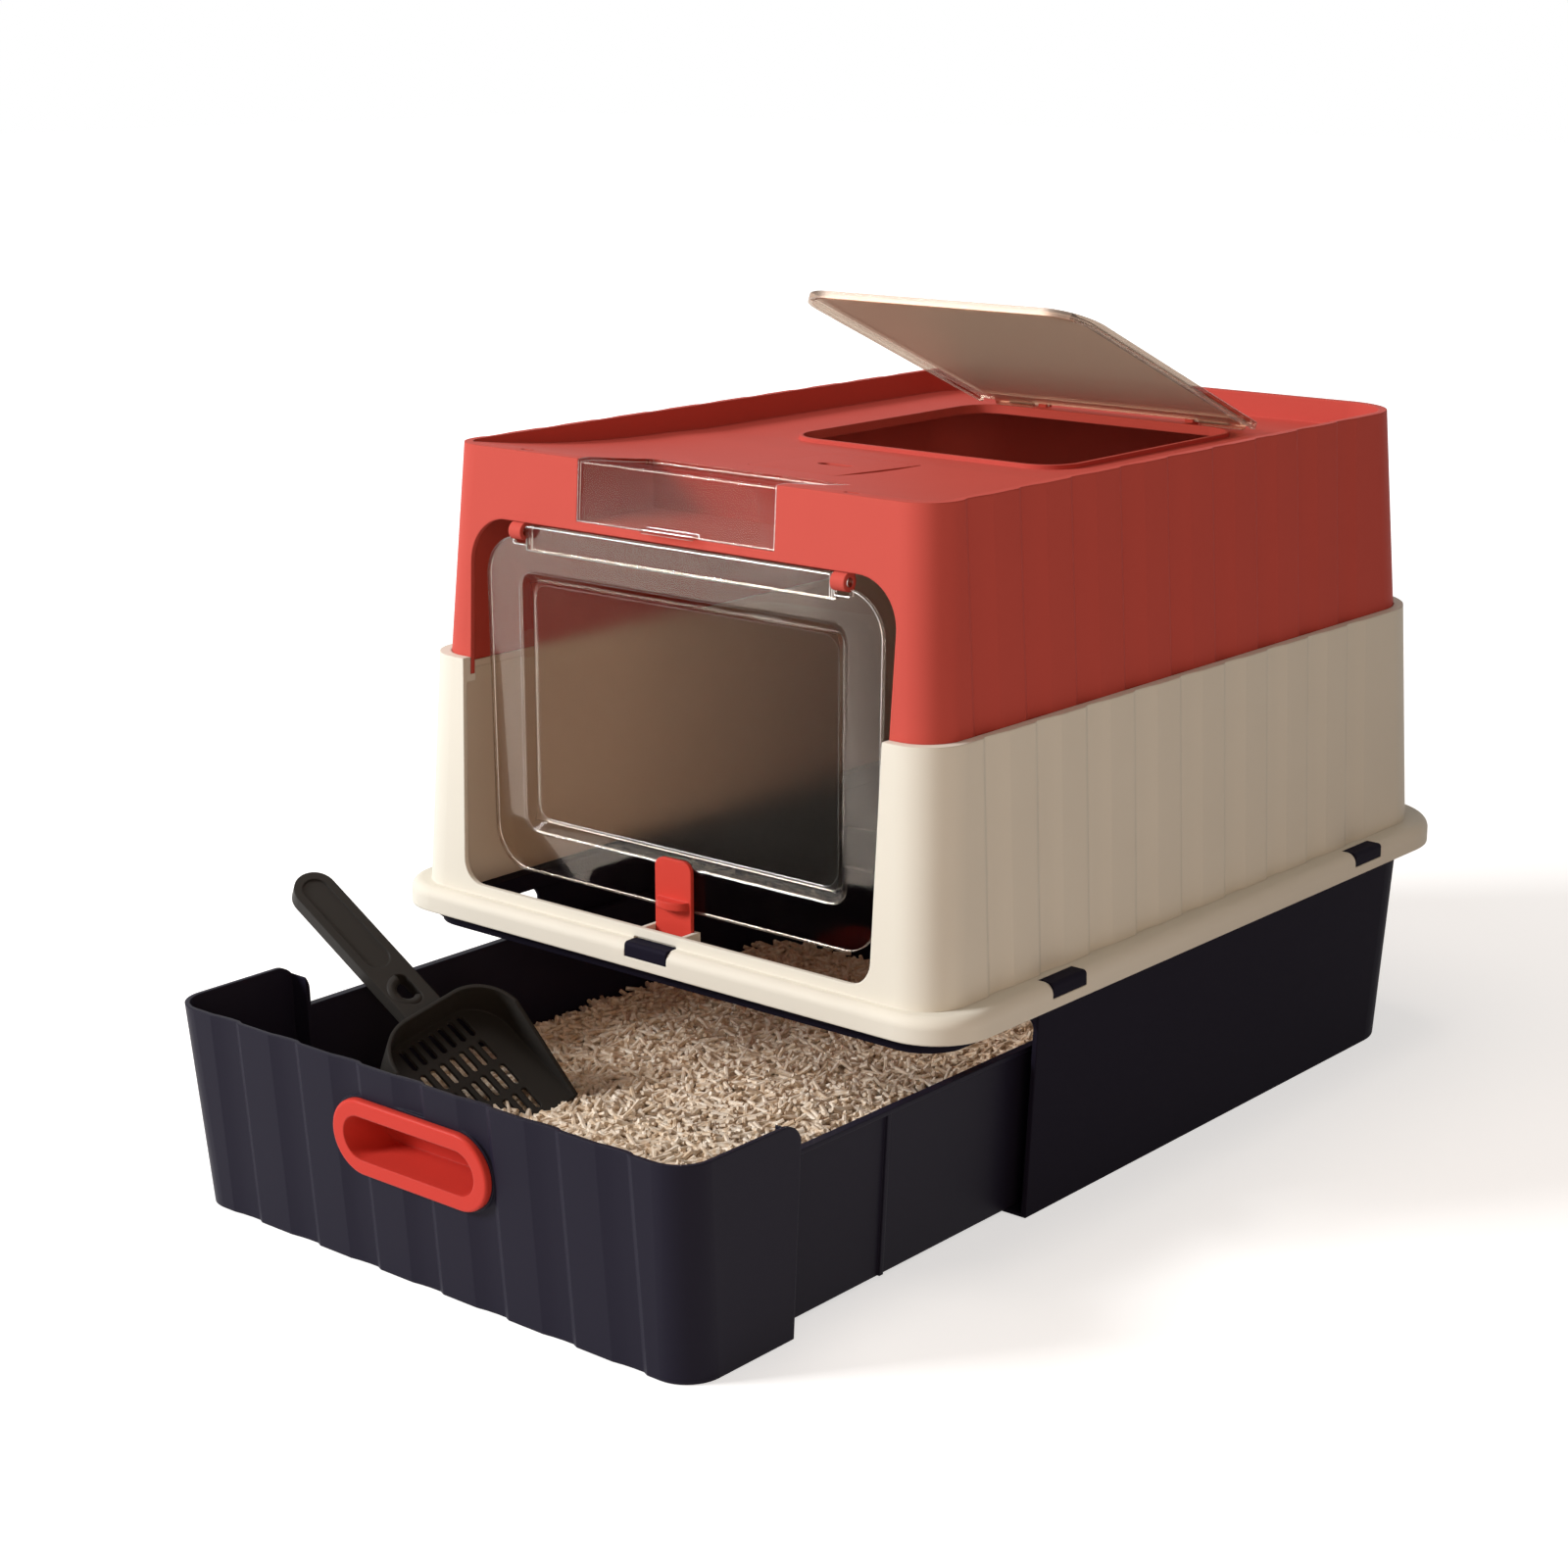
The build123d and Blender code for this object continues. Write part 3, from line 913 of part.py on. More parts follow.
def blade_face(inset):
    """The blade's outline, moved in by inset: square at the tip, rounded at the rear."""
    with BuildSketch(mode=Mode.PRIVATE) as outline:
        with BuildLine():
            Polyline((0, -SCOOP_HALF + inset), (0, SCOOP_HALF - inset), (-SCOOP_BLADE + inset, SCOOP_HALF - inset),
                     (-SCOOP_BLADE + inset, -SCOOP_HALF + inset), close=True)
        make_face()
        fillet(outline.vertices().group_by(Axis.X)[0], SCOOP_CORNER - inset)
    return outline.sketch.face()


with BuildPart() as scoop:
    with BuildSketch(SCOOP_PLANE):
        add(blade_face(0))
    extrude(amount=SCOOP_DEPTH)
    with BuildSketch(SCOOP_PLANE.offset(SCOOP_WALL)):
        add(blade_face(SCOOP_WALL))
    extrude(amount=SCOOP_DEPTH, mode=Mode.SUBTRACT)
    with BuildSketch(Plane(SCOOP_PLANE.origin, x_dir=SCOOP_PLANE.x_dir, z_dir=-SCOOP_PLANE.y_dir)):
        with BuildLine():
            Polyline((1, SCOOP_TIP_DEPTH), (-SCOOP_BLADE * 0.7, SCOOP_DEPTH), (-SCOOP_BLADE * 0.7, SCOOP_DEPTH * 2),
                     (1, SCOOP_DEPTH * 2), close=True)
        make_face()
    extrude(amount=SCOOP_HALF * 2, both=True, mode=Mode.SUBTRACT)
    with BuildSketch(SCOOP_PLANE):
        with Locations((-SCOOP_BLADE / 2, 0)):
            with GridLocations(SCOOP_ROW_PITCH, SCOOP_SLOT_PITCH, SCOOP_ROWS, SCOOP_ROW_SLOTS):
                SlotOverall(*SCOOP_SLOT)
    extrude(amount=SCOOP_WALL * 2, mode=Mode.SUBTRACT)
    # handle with its eye
    with BuildSketch(SCOOP_PLANE.offset(SCOOP_HANDLE_RISE)):
        with Locations((SCOOP_REAR, 0)):
            SlotOverall(SCOOP_HANDLE + SCOOP_WALL / 2, SCOOP_HANDLE_WIDTH, align=(Align.MIN, Align.CENTER))
        with Locations((-SCOOP_BLADE + SCOOP_WALL / 2, 0)):
            Rectangle(SCOOP_NECK, SCOOP_HANDLE_WIDTH, align=(Align.MAX, Align.CENTER))
        with Locations((-SCOOP_BLADE - SCOOP_NECK / 2, 0)):
            SlotOverall(*SCOOP_EYE, mode=Mode.SUBTRACT)
    extrude(amount=SCOOP_HANDLE_THICKNESS)
    with BuildSketch(SCOOP_PLANE.offset(SCOOP_HANDLE_RISE + SCOOP_HANDLE_THICKNESS)):
        with Locations((SCOOP_REAR + SCOOP_PAD_INSET, 0)):
            SlotOverall(*SCOOP_PAD, align=(Align.MIN, Align.CENTER))
    extrude(amount=-SCOOP_PAD_DEPTH, mode=Mode.SUBTRACT)

scoop.part.label = "scoop"
export_step(scoop.part, "parts/scoop.step")
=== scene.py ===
"""Looks of the drawer litter box.

The CAD nodes get their finishes, the litter its loose sticks and the scoop its hook, in a plain studio.
"""

import logging
import math
import random
from dataclasses import dataclass, field
from enum import Enum
from typing import Any, Optional, Sequence

import bmesh
import bpy
from mathutils import Euler, Matrix, Vector, noise
from mathutils.bvhtree import BVHTree


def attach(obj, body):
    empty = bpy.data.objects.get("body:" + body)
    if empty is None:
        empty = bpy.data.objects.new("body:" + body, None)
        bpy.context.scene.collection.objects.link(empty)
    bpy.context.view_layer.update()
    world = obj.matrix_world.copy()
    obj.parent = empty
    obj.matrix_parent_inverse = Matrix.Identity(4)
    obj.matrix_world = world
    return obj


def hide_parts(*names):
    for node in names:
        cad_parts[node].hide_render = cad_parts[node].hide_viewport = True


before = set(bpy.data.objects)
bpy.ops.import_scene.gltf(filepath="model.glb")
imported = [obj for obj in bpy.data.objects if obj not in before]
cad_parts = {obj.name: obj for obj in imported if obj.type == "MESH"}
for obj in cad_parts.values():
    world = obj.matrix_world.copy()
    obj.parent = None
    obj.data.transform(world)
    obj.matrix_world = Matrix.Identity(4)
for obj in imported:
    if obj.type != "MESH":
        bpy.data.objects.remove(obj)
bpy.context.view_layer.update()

LOG = logging.getLogger("drawer_litter_box")
MM = 0.001
WHITE = (1.0, 1.0, 1.0, 1.0)
ORIGIN = (0.0, 0.0, 0.0)
QUARTER_TURN = math.pi / 2
MERGE_DISTANCE = 0.01 * MM    # loose vertices of a CAD mesh closer than this are one
BEVEL_SAMPLES = 6


class Body(Enum):
    """The moving bodies that new pieces ride on."""

    DRAWER = "drawer"
    SCOOP = "loose_scoop"


class Slot(Enum):
    """Material slots of the record for new pieces; no piece here takes one."""

    PELLETS = "pellets"
    SCOOP = "scoop_grey"


def linear(colour: str) -> tuple[float, float, float, float]:
    """Turn an sRGB hex colour into linear light.

    Args:
        colour: six hex digits, with or without a leading hash.

    Returns:
        Linear red, green and blue, and an alpha of 1.
    """
    digits = colour.lstrip("#")
    channels = []
    for start in (0, 2, 4):
        value = int(digits[start:start + 2], 16) / 255
        channels.append(value / 12.92 if value <= 0.04045 else ((value + 0.055) / 1.055) ** 2.4)
    return (channels[0], channels[1], channels[2], 1.0)


def add_node(tree: bpy.types.NodeTree, kind: str, inputs: Optional[dict[Any, Any]] = None,
             **settings: Any) -> bpy.types.Node:
    """Add a node to a tree with its settings and inputs.

    Args:
        tree: the node tree that gets the node.
        kind: Blender's class name of the node.
        inputs: input socket name or number to a fixed value, or to the output socket that feeds it.
        settings: attributes to set on the node itself.

    Returns:
        The new node.
    """
    node = tree.nodes.new(kind)
    for name, setting in settings.items():
        setattr(node, name, setting)
    for name, value in (inputs or {}).items():
        if isinstance(value, bpy.types.NodeSocket):
            tree.links.new(value, node.inputs[name])
        else:
            node.inputs[name].default_value = value
    return node


def noise_of(tree: bpy.types.NodeTree, place: bpy.types.NodeSocket, size: float,
             detail: float) -> bpy.types.NodeSocket:
    """Noise in space.

    Args:
        tree: the node tree.
        place: object coordinates.
        size: about how large one lump of the noise is, in metres.
        detail: how many finer layers lie on it.

    Returns:
        A socket between 0 and 1.
    """
    lumps = add_node(tree, "ShaderNodeTexNoise", {"Vector": place, "Scale": 1 / size, "Detail": detail})
    return lumps.outputs["Fac"]


def map_range(tree: bpy.types.NodeTree, value: bpy.types.NodeSocket, source: tuple[float, float] = (0.0, 1.0),
              target: tuple[float, float] = (0.0, 1.0)) -> bpy.types.NodeSocket:
    """Carry a value from one range over to another, and hold it there.

    Args:
        tree: the node tree.
        value: the value.
        source: the two ends that it comes from.
        target: the two ends that they become.

    Returns:
        The new value.
    """
    node = add_node(tree, "ShaderNodeMapRange", {"Value": value, "From Min": source[0], "From Max": source[1],
                                                 "To Min": target[0], "To Max": target[1]})
    return node.outputs["Result"]


def calculate(tree: bpy.types.NodeTree, operation: str, *values: Any) -> bpy.types.NodeSocket:
    """Do one sum on numbers or sockets.

    Args:
        tree: the node tree.
        operation: Blender's name of the operation.
        values: its one or two inputs.

    Returns:
        The result.
    """
    return add_node(tree, "ShaderNodeMath", dict(enumerate(values)), operation=operation).outputs[0]


def mix_shaders(tree: bpy.types.NodeTree, share: Any, first: bpy.types.NodeSocket,
                second: bpy.types.NodeSocket) -> bpy.types.NodeSocket:
    """Mix two shaders.

    Args:
        tree: the node tree.
        share: the second shader's share, a number or a socket.
        first: one shader.
        second: the other.

    Returns:
        The mixed shader.
    """
    return add_node(tree, "ShaderNodeMixShader", {0: share, 1: first, 2: second}).outputs["Shader"]


def backdrop_share(tree: bpy.types.NodeTree) -> bpy.types.NodeSocket:
    """Whether a ray shows the white backdrop rather than the light that falls on it.

    Args:
        tree: the tree of the world or the floor.

    Returns:
        A socket that is 1 for camera, glossy and transmission rays.
    """
    rays = add_node(tree, "ShaderNodeLightPath").outputs
    seen = calculate(tree, "MAXIMUM", rays["Is Camera Ray"], rays["Is Transmission Ray"])
    return calculate(tree, "MAXIMUM", seen, rays["Is Glossy Ray"])


@dataclass(frozen=True)
class Finish:
    """The finish of one real material. Each kind of finish says how its surface is shaded."""

    name: str

    def shader(self, tree: bpy.types.NodeTree, place: bpy.types.NodeSocket) -> bpy.types.NodeSocket:
        """Shade the surface.

        Args:
            tree: the material's tree.
            place: object coordinates.

        Returns:
            The shader.

        Raises:
            NotImplementedError: where a kind of finish leaves this out.
        """
        raise NotImplementedError

    def material(self) -> bpy.types.Material:
        """Build the finish.

        Returns:
            The node material.
        """
        material = bpy.data.materials.new(self.name)
        material.use_nodes = True
        tree = material.node_tree
        tree.nodes.clear()
        place = add_node(tree, "ShaderNodeTexCoord").outputs["Object"]
        add_node(tree, "ShaderNodeOutputMaterial", {"Surface": self.shader(tree, place)})
        return material


@dataclass(frozen=True)
class MouldedPlastic(Finish):
    """Injection-moulded plastic: an even body colour, a fine spark-eroded grain and rounded edges."""

    colour: str
    roughness: float
    sheen: float = 0.2               # share of a polished surface's reflection that the grain leaves
    index: float = 1.3               # of refraction
    grain: float = 0.9 * MM          # spark erosion is finer, drawn coarser so that it shows
    grain_height: float = 0.05 * MM
    grain_strength: float = 0.35
    gloss_spread: float = 0.05       # how far the grain takes the roughness up and down
    cloud: float = 60 * MM
    mottle: float = 0.03             # how far the clouds take the colour up and down
    edge: float = 1.3 * MM

    def shader(self, tree: bpy.types.NodeTree, place: bpy.types.NodeSocket) -> bpy.types.NodeSocket:
        """Shade the surface.

        Args:
            tree: the material's tree.
            place: object coordinates.

        Returns:
            The shader.
        """
        grain = noise_of(tree, place, self.grain, 2.0)
        cloud = noise_of(tree, place, self.cloud, 3.0)
        shade = map_range(tree, cloud, target=(1 - self.mottle, 1 + self.mottle))
        tone = add_node(tree, "ShaderNodeHueSaturation", {"Value": shade, "Color": linear(self.colour)})
        gloss = map_range(tree, grain, target=(self.roughness - self.gloss_spread,
                                               self.roughness + self.gloss_spread))
        edge = add_node(tree, "ShaderNodeBevel", {"Radius": self.edge}, samples=BEVEL_SAMPLES)
        bump = add_node(tree, "ShaderNodeBump",
                        {"Height": grain, "Normal": edge.outputs["Normal"],
                         "Strength": self.grain_strength, "Distance": self.grain_height})
        surface = add_node(tree, "ShaderNodeBsdfPrincipled",
                           {"Base Color": tone.outputs["Color"], "Roughness": gloss,
                            "Normal": bump.outputs["Normal"], "IOR": self.index,
                            "Specular IOR Level": self.sheen})
        return surface.outputs["BSDF"]


@dataclass(frozen=True)
class EtchedPanel:
    """The matt rectangle of a clear moulding: it blurs what lies behind it and glints softly."""

    share: float                     # of the light, the rest goes through as if the panel were polished
    colour: str
    milk: float                      # share of the etched light that the panel throws back
    middle: tuple[float, float]      # its centre in mm
    half: tuple[float, float]        # half its width and height in mm
    axes: str = "XZ"                 # the object axes that it lies along
    soft_edge: float = 1.0           # mm
    pebble: float = 1.1 * MM
    pebble_height: float = 0.12 * MM
    pebble_strength: float = 0.5
    blur: float = 0.45
    blur_index: float = 1.08         # of refraction, low so that the panel blurs and hardly bends the view
    glint_roughness: float = 0.42

    def mask(self, tree: bpy.types.NodeTree, place: bpy.types.NodeSocket) -> bpy.types.NodeSocket:
        """Where the panel is.

        Args:
            tree: the material's tree.
            place: object coordinates.

        Returns:
            A socket that is 1 inside the panel and 0 outside, with a soft edge.
        """
        apart = add_node(tree, "ShaderNodeSeparateXYZ", {"Vector": place}).outputs
        sides = []
        for axis, middle, half in zip(self.axes, self.middle, self.half):
            offset = calculate(tree, "SUBTRACT", apart[axis], middle * MM)
            away = calculate(tree, "ABSOLUTE", offset)
            sides.append(map_range(tree, away, source=(half * MM, (half - self.soft_edge) * MM)))
        return calculate(tree, "MULTIPLY", *sides)

    def over(self, tree: bpy.types.NodeTree, clear: bpy.types.NodeSocket,
             place: bpy.types.NodeSocket) -> bpy.types.NodeSocket:
        """Lay the panel over the clear plastic.

        Args:
            tree: the material's tree.
            clear: the clear plastic's shader.
            place: object coordinates.

        Returns:
            The shader of both.
        """
        bump = add_node(tree, "ShaderNodeBump",
                        {"Height": noise_of(tree, place, self.pebble, 2.0),
                         "Strength": self.pebble_strength, "Distance": self.pebble_height}).outputs["Normal"]
        colour = linear(self.colour)
        blurred = add_node(tree, "ShaderNodeBsdfRefraction",
                           {"Normal": bump, "Color": colour, "Roughness": self.blur, "IOR": self.blur_index})
        glint = add_node(tree, "ShaderNodeBsdfAnisotropic",
                         {"Normal": bump, "Color": colour, "Roughness": self.glint_roughness})
        milky = mix_shaders(tree, self.milk, blurred.outputs["BSDF"], glint.outputs["BSDF"])
        share = calculate(tree, "MULTIPLY", self.mask(tree, place), self.share)
        return mix_shaders(tree, share, clear, milky)


@dataclass(frozen=True)
class ClearPlastic(Finish):
    """Polystyrene that light passes through: polished, with bright edges and maybe an etched panel."""

    colour: str
    clarity: float                       # share of light that goes straight through
    edge_light: float                    # how much of the surround the rounded edges reflect
    panel: Optional[EtchedPanel] = None
    roughness: float = 0.04
    smear: float = 25 * MM
    smear_spread: float = 0.5            # share by which the smears take the roughness up and down
    index: float = 1.53                  # of refraction
    edge: float = 1.1 * MM
    edge_start: float = 0.985            # cosine of the edge's turn at which it starts to shine
    edge_full: float = 0.8               # and at which it shines most
    edge_colour: str = "#F4F2EF"
    edge_roughness: float = 0.2

    def polished_edges(self, tree: bpy.types.NodeTree, shader: bpy.types.NodeSocket,
                       rounded: bpy.types.NodeSocket) -> bpy.types.NodeSocket:
        """Let the rounded edges catch the light, as they do on clear mouldings.

        Args:
            tree: the material's tree.
            shader: the plastic between the edges.
            rounded: the normal with its edges rounded.

        Returns:
            The shader with bright edges.
        """
        flat = add_node(tree, "ShaderNodeNewGeometry").outputs["True Normal"]
        alike = add_node(tree, "ShaderNodeVectorMath", {0: rounded, 1: flat}, operation="DOT_PRODUCT")
        turned = calculate(tree, "ABSOLUTE", alike.outputs["Value"])
        rim = map_range(tree, turned, source=(self.edge_start, self.edge_full), target=(0.0, self.edge_light))
        glare = add_node(tree, "ShaderNodeBsdfAnisotropic",
                         {"Normal": rounded, "Color": linear(self.edge_colour),
                          "Roughness": self.edge_roughness})
        return mix_shaders(tree, rim, shader, glare.outputs["BSDF"])

    def shader(self, tree: bpy.types.NodeTree, place: bpy.types.NodeSocket) -> bpy.types.NodeSocket:
        """Shade the surface.

        Args:
            tree: the material's tree.
            place: object coordinates.

        Returns:
            The shader.
        """
        colour = linear(self.colour)
        smear = noise_of(tree, place, self.smear, 4.0)
        rough = map_range(tree, smear, target=(self.roughness * (1 - self.smear_spread),
                                               self.roughness * (1 + self.smear_spread)))
        bevel = add_node(tree, "ShaderNodeBevel", {"Radius": self.edge}, samples=BEVEL_SAMPLES)
        rounded = bevel.outputs["Normal"]
        bulk = add_node(tree, "ShaderNodeBsdfPrincipled",
                        {"Roughness": rough, "Normal": rounded, "Base Color": colour, "IOR": self.index,
                         "Transmission Weight": 1.0})
        through = add_node(tree, "ShaderNodeBsdfTransparent", {"Color": colour}).outputs["BSDF"]
        shader = mix_shaders(tree, self.clarity, bulk.outputs["BSDF"], through)
        if self.panel:
            shader = self.panel.over(tree, shader, place)
        shader = self.polished_edges(tree, shader, rounded)
        # light itself passes straight through, so what lies behind is lit
        rays = add_node(tree, "ShaderNodeLightPath").outputs
        light = calculate(tree, "MAXIMUM", rays["Is Shadow Ray"], rays["Is Diffuse Ray"])
        return mix_shaders(tree, light, shader, through)


@dataclass(frozen=True)
class PressedPellet(Finish):
    """Pressed plant-fibre pellets: dry, matt and mottled, some sticks lighter or darker than the next."""

    light: str
    dark: str
    patch: float = 5.0 * MM                          # about as long as one shade goes on
    contrast: tuple[float, float] = (0.35, 0.65)     # noise at which a patch is all dark and all light
    fibre: float = 0.7 * MM
    fibre_height: float = 0.2 * MM
    fibre_strength: float = 0.4
    roughness: float = 0.85

    def shader(self, tree: bpy.types.NodeTree, place: bpy.types.NodeSocket) -> bpy.types.NodeSocket:
        """Shade the surface.

        Args:
            tree: the material's tree.
            place: object coordinates.

        Returns:
            The shader.
        """
        tone = map_range(tree, noise_of(tree, place, self.patch, 3.0), source=self.contrast)
        # inputs 6 and 7 and output 2 are the colours of a mix node
        colour = add_node(tree, "ShaderNodeMix",
                          {"Factor": tone, 6: linear(self.dark), 7: linear(self.light)}, data_type="RGBA")
        bump = add_node(tree, "ShaderNodeBump",
                        {"Height": noise_of(tree, place, self.fibre, 2.0),
                         "Strength": self.fibre_strength, "Distance": self.fibre_height})
        surface = add_node(tree, "ShaderNodeBsdfPrincipled",
                           {"Base Color": colour.outputs[2], "Normal": bump.outputs["Normal"],
                            "Roughness": self.roughness})
        return surface.outputs["BSDF"]


@dataclass(frozen=True)
class NeedleFelt(Finish):
    """Needled felt: soft, without gloss, and mottled by its fibres."""

    colour: str
    fibre: float = 1.2 * MM
    fibre_height: float = 0.4 * MM
    fibre_strength: float = 0.6
    roughness: float = 0.95
    fuzz: float = 0.3

    def shader(self, tree: bpy.types.NodeTree, place: bpy.types.NodeSocket) -> bpy.types.NodeSocket:
        """Shade the surface.

        Args:
            tree: the material's tree.
            place: object coordinates.

        Returns:
            The shader.
        """
        fibre = noise_of(tree, place, self.fibre, 6.0)
        tone = add_node(tree, "ShaderNodeHueSaturation", {"Value": fibre, "Color": linear(self.colour)})
        bump = add_node(tree, "ShaderNodeBump",
                        {"Height": fibre, "Strength": self.fibre_strength, "Distance": self.fibre_height})
        surface = add_node(tree, "ShaderNodeBsdfPrincipled",
                           {"Base Color": tone.outputs["Color"], "Normal": bump.outputs["Normal"],
                            "Roughness": self.roughness, "Sheen Weight": self.fuzz})
        return surface.outputs["BSDF"]


@dataclass(frozen=True)
class StudioFloor(Finish):
    """A pale matt floor that looks white, more so further out, and keeps the object's shadow."""

    grey: float = 0.8
    reach: tuple[float, float] = (0.5, 2.5)    # metres from the middle over which the glow grows
    glow: tuple[float, float] = (0.6, 1.1)     # its strength there

    def shader(self, tree: bpy.types.NodeTree, place: bpy.types.NodeSocket) -> bpy.types.NodeSocket:
        """Shade the surface.

        Args:
            tree: the material's tree.
            place: object coordinates.

        Returns:
            The shader.
        """
        matt = add_node(tree, "ShaderNodeBsdfDiffuse", {"Color": (self.grey, self.grey, self.grey, 1.0)})
        apart = add_node(tree, "ShaderNodeVectorMath", {0: place}, operation="LENGTH")
        glow_there = map_range(tree, apart.outputs["Value"], source=self.reach, target=self.glow)
        strength = calculate(tree, "MULTIPLY", backdrop_share(tree), glow_there)
        glow = add_node(tree, "ShaderNodeEmission", {"Strength": strength, "Color": WHITE})
        total = add_node(tree, "ShaderNodeAddShader", {0: matt.outputs["BSDF"], 1: glow.outputs["Emission"]})
        return total.outputs["Shader"]


def dress(node: str, finish: Finish) -> None:
    """Give a CAD node's object a finish.

    Args:
        node: the CAD node's name.
        finish: its finish.
    """
    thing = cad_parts[node]
    material = finish.material()
    thing.data.materials.clear()
    thing.data.materials.append(material)
    LOG.info("dressed %s in %s", node, finish.name)


def object_of(mesh: bpy.types.Mesh, material: bpy.types.Material) -> bpy.types.Object:
    """Put a mesh into the scene.

    Args:
        mesh: the mesh, in metres and in the row frame.
        material: its finish.

    Returns:
        The new object, named as its mesh.
    """
    mesh.materials.append(material)
    thing = bpy.data.objects.new(mesh.name, mesh)
    bpy.context.scene.collection.objects.link(thing)
    return thing


def make_object(name: str, form: bmesh.types.BMesh, material: bpy.types.Material) -> bpy.types.Object:
    """Turn a finished bmesh into an object of the scene.

    Args:
        name: the piece's name.
        form: the mesh, in metres and in the row frame. It is freed.
        material: its finish.

    Returns:
        The new object.
    """
    mesh = bpy.data.meshes.new(name)
    form.to_mesh(mesh)
    form.free()
    return object_of(mesh, material)


def place_piece(thing: bpy.types.Object, body: Body) -> None:
    """Let a piece ride on its body.

    Args:
        thing: the piece.
        body: the body that carries it.
    """
    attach(thing, body.value)
    LOG.info("made %s, %d faces", thing.name, len(thing.data.polygons))


def merged_copy(node: str) -> bmesh.types.BMesh:
    """Copy a CAD node's mesh and join its loose triangles.

    Args:
        node: the CAD node's name.

    Returns:
        The joined mesh.
    """
    form = bmesh.new()
    form.from_mesh(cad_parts[node].data)
    bmesh.ops.remove_doubles(form, verts=form.verts, dist=MERGE_DISTANCE)
    return form


@dataclass
class Hood:
    """The base, the two shells, and the hangers, clips, cover and pad that they carry."""

    navy: MouldedPlastic = MouldedPlastic("Navy PP, moulded", "#1E1C28", roughness=0.5, sheen=0.03)
    cream: MouldedPlastic = MouldedPlastic("Cream ABS, moulded", "#E1DDD1", roughness=0.5, sheen=0.15)
    red: MouldedPlastic = MouldedPlastic("Coral red ABS, moulded", "#C3544B", roughness=0.5, sheen=0.04)
    felt: NeedleFelt = NeedleFelt("Needle felt, white", "#EDEBE4")

    def build(self) -> None:
        """Dress the hood's nodes."""
        for node, finish in (("base_housing", self.navy), ("base_clips", self.navy),
                             ("middle_shell", self.cream), ("upper_shell", self.red),
                             ("door_hangers", self.red), ("deodoriser_cover", self.red),
                             ("deodoriser_pad", self.felt)):
            dress(node, finish)


@dataclass
class ClearParts:
    """The flap, lid and pocket cover, which light passes through, with the lid's pins and the latch."""

    flap: ClearPlastic = ClearPlastic(
        "Smoked polystyrene, flap", "#EFE8E1", clarity=0.85, edge_light=0.9,
        panel=EtchedPanel(share=0.95, colour="#F8F2EB", milk=0.008, middle=(0.0, 254.5), half=(109.5, 68.5)))
    lid: ClearPlastic = ClearPlastic(
        "Smoked polystyrene, lid", "#DCCFC3", clarity=0.7, edge_light=0.35,
        panel=EtchedPanel(share=0.85, colour="#D8C5B6", milk=0.22, middle=(0.0, 60.0), half=(94.0, 130.0),
                          axes="XY"))
    cover: ClearPlastic = ClearPlastic("Clear polystyrene", "#EDE3DE", clarity=0.93, edge_light=0.9)
    pins: MouldedPlastic = MouldedPlastic("Natural nylon, moulded", "#E9E6E0", roughness=0.35)
    latch: MouldedPlastic = MouldedPlastic("Bright red ABS, latch", "#CB4338", roughness=0.36)

    def build(self) -> None:
        """Dress the nodes."""
        for node, finish in (("front_door", self.flap), ("top_lid", self.lid), ("pocket_cover", self.cover),
                             ("lid_hinge_pins", self.pins), ("door_latch", self.latch)):
            dress(node, finish)


@dataclass
class Drawer:
    """The tub with its fluted front, and the hand-hold."""

    navy: MouldedPlastic = MouldedPlastic("Navy PP, drawer", "#1E1C29", roughness=0.45, sheen=0.16)
    red: MouldedPlastic = MouldedPlastic("Bright red ABS, hand-hold", "#C53B31", roughness=0.34)

    def build(self) -> None:
        """Dress the nodes."""
        dress("drawer_tub", self.navy)
        dress("drawer_handle", self.red)


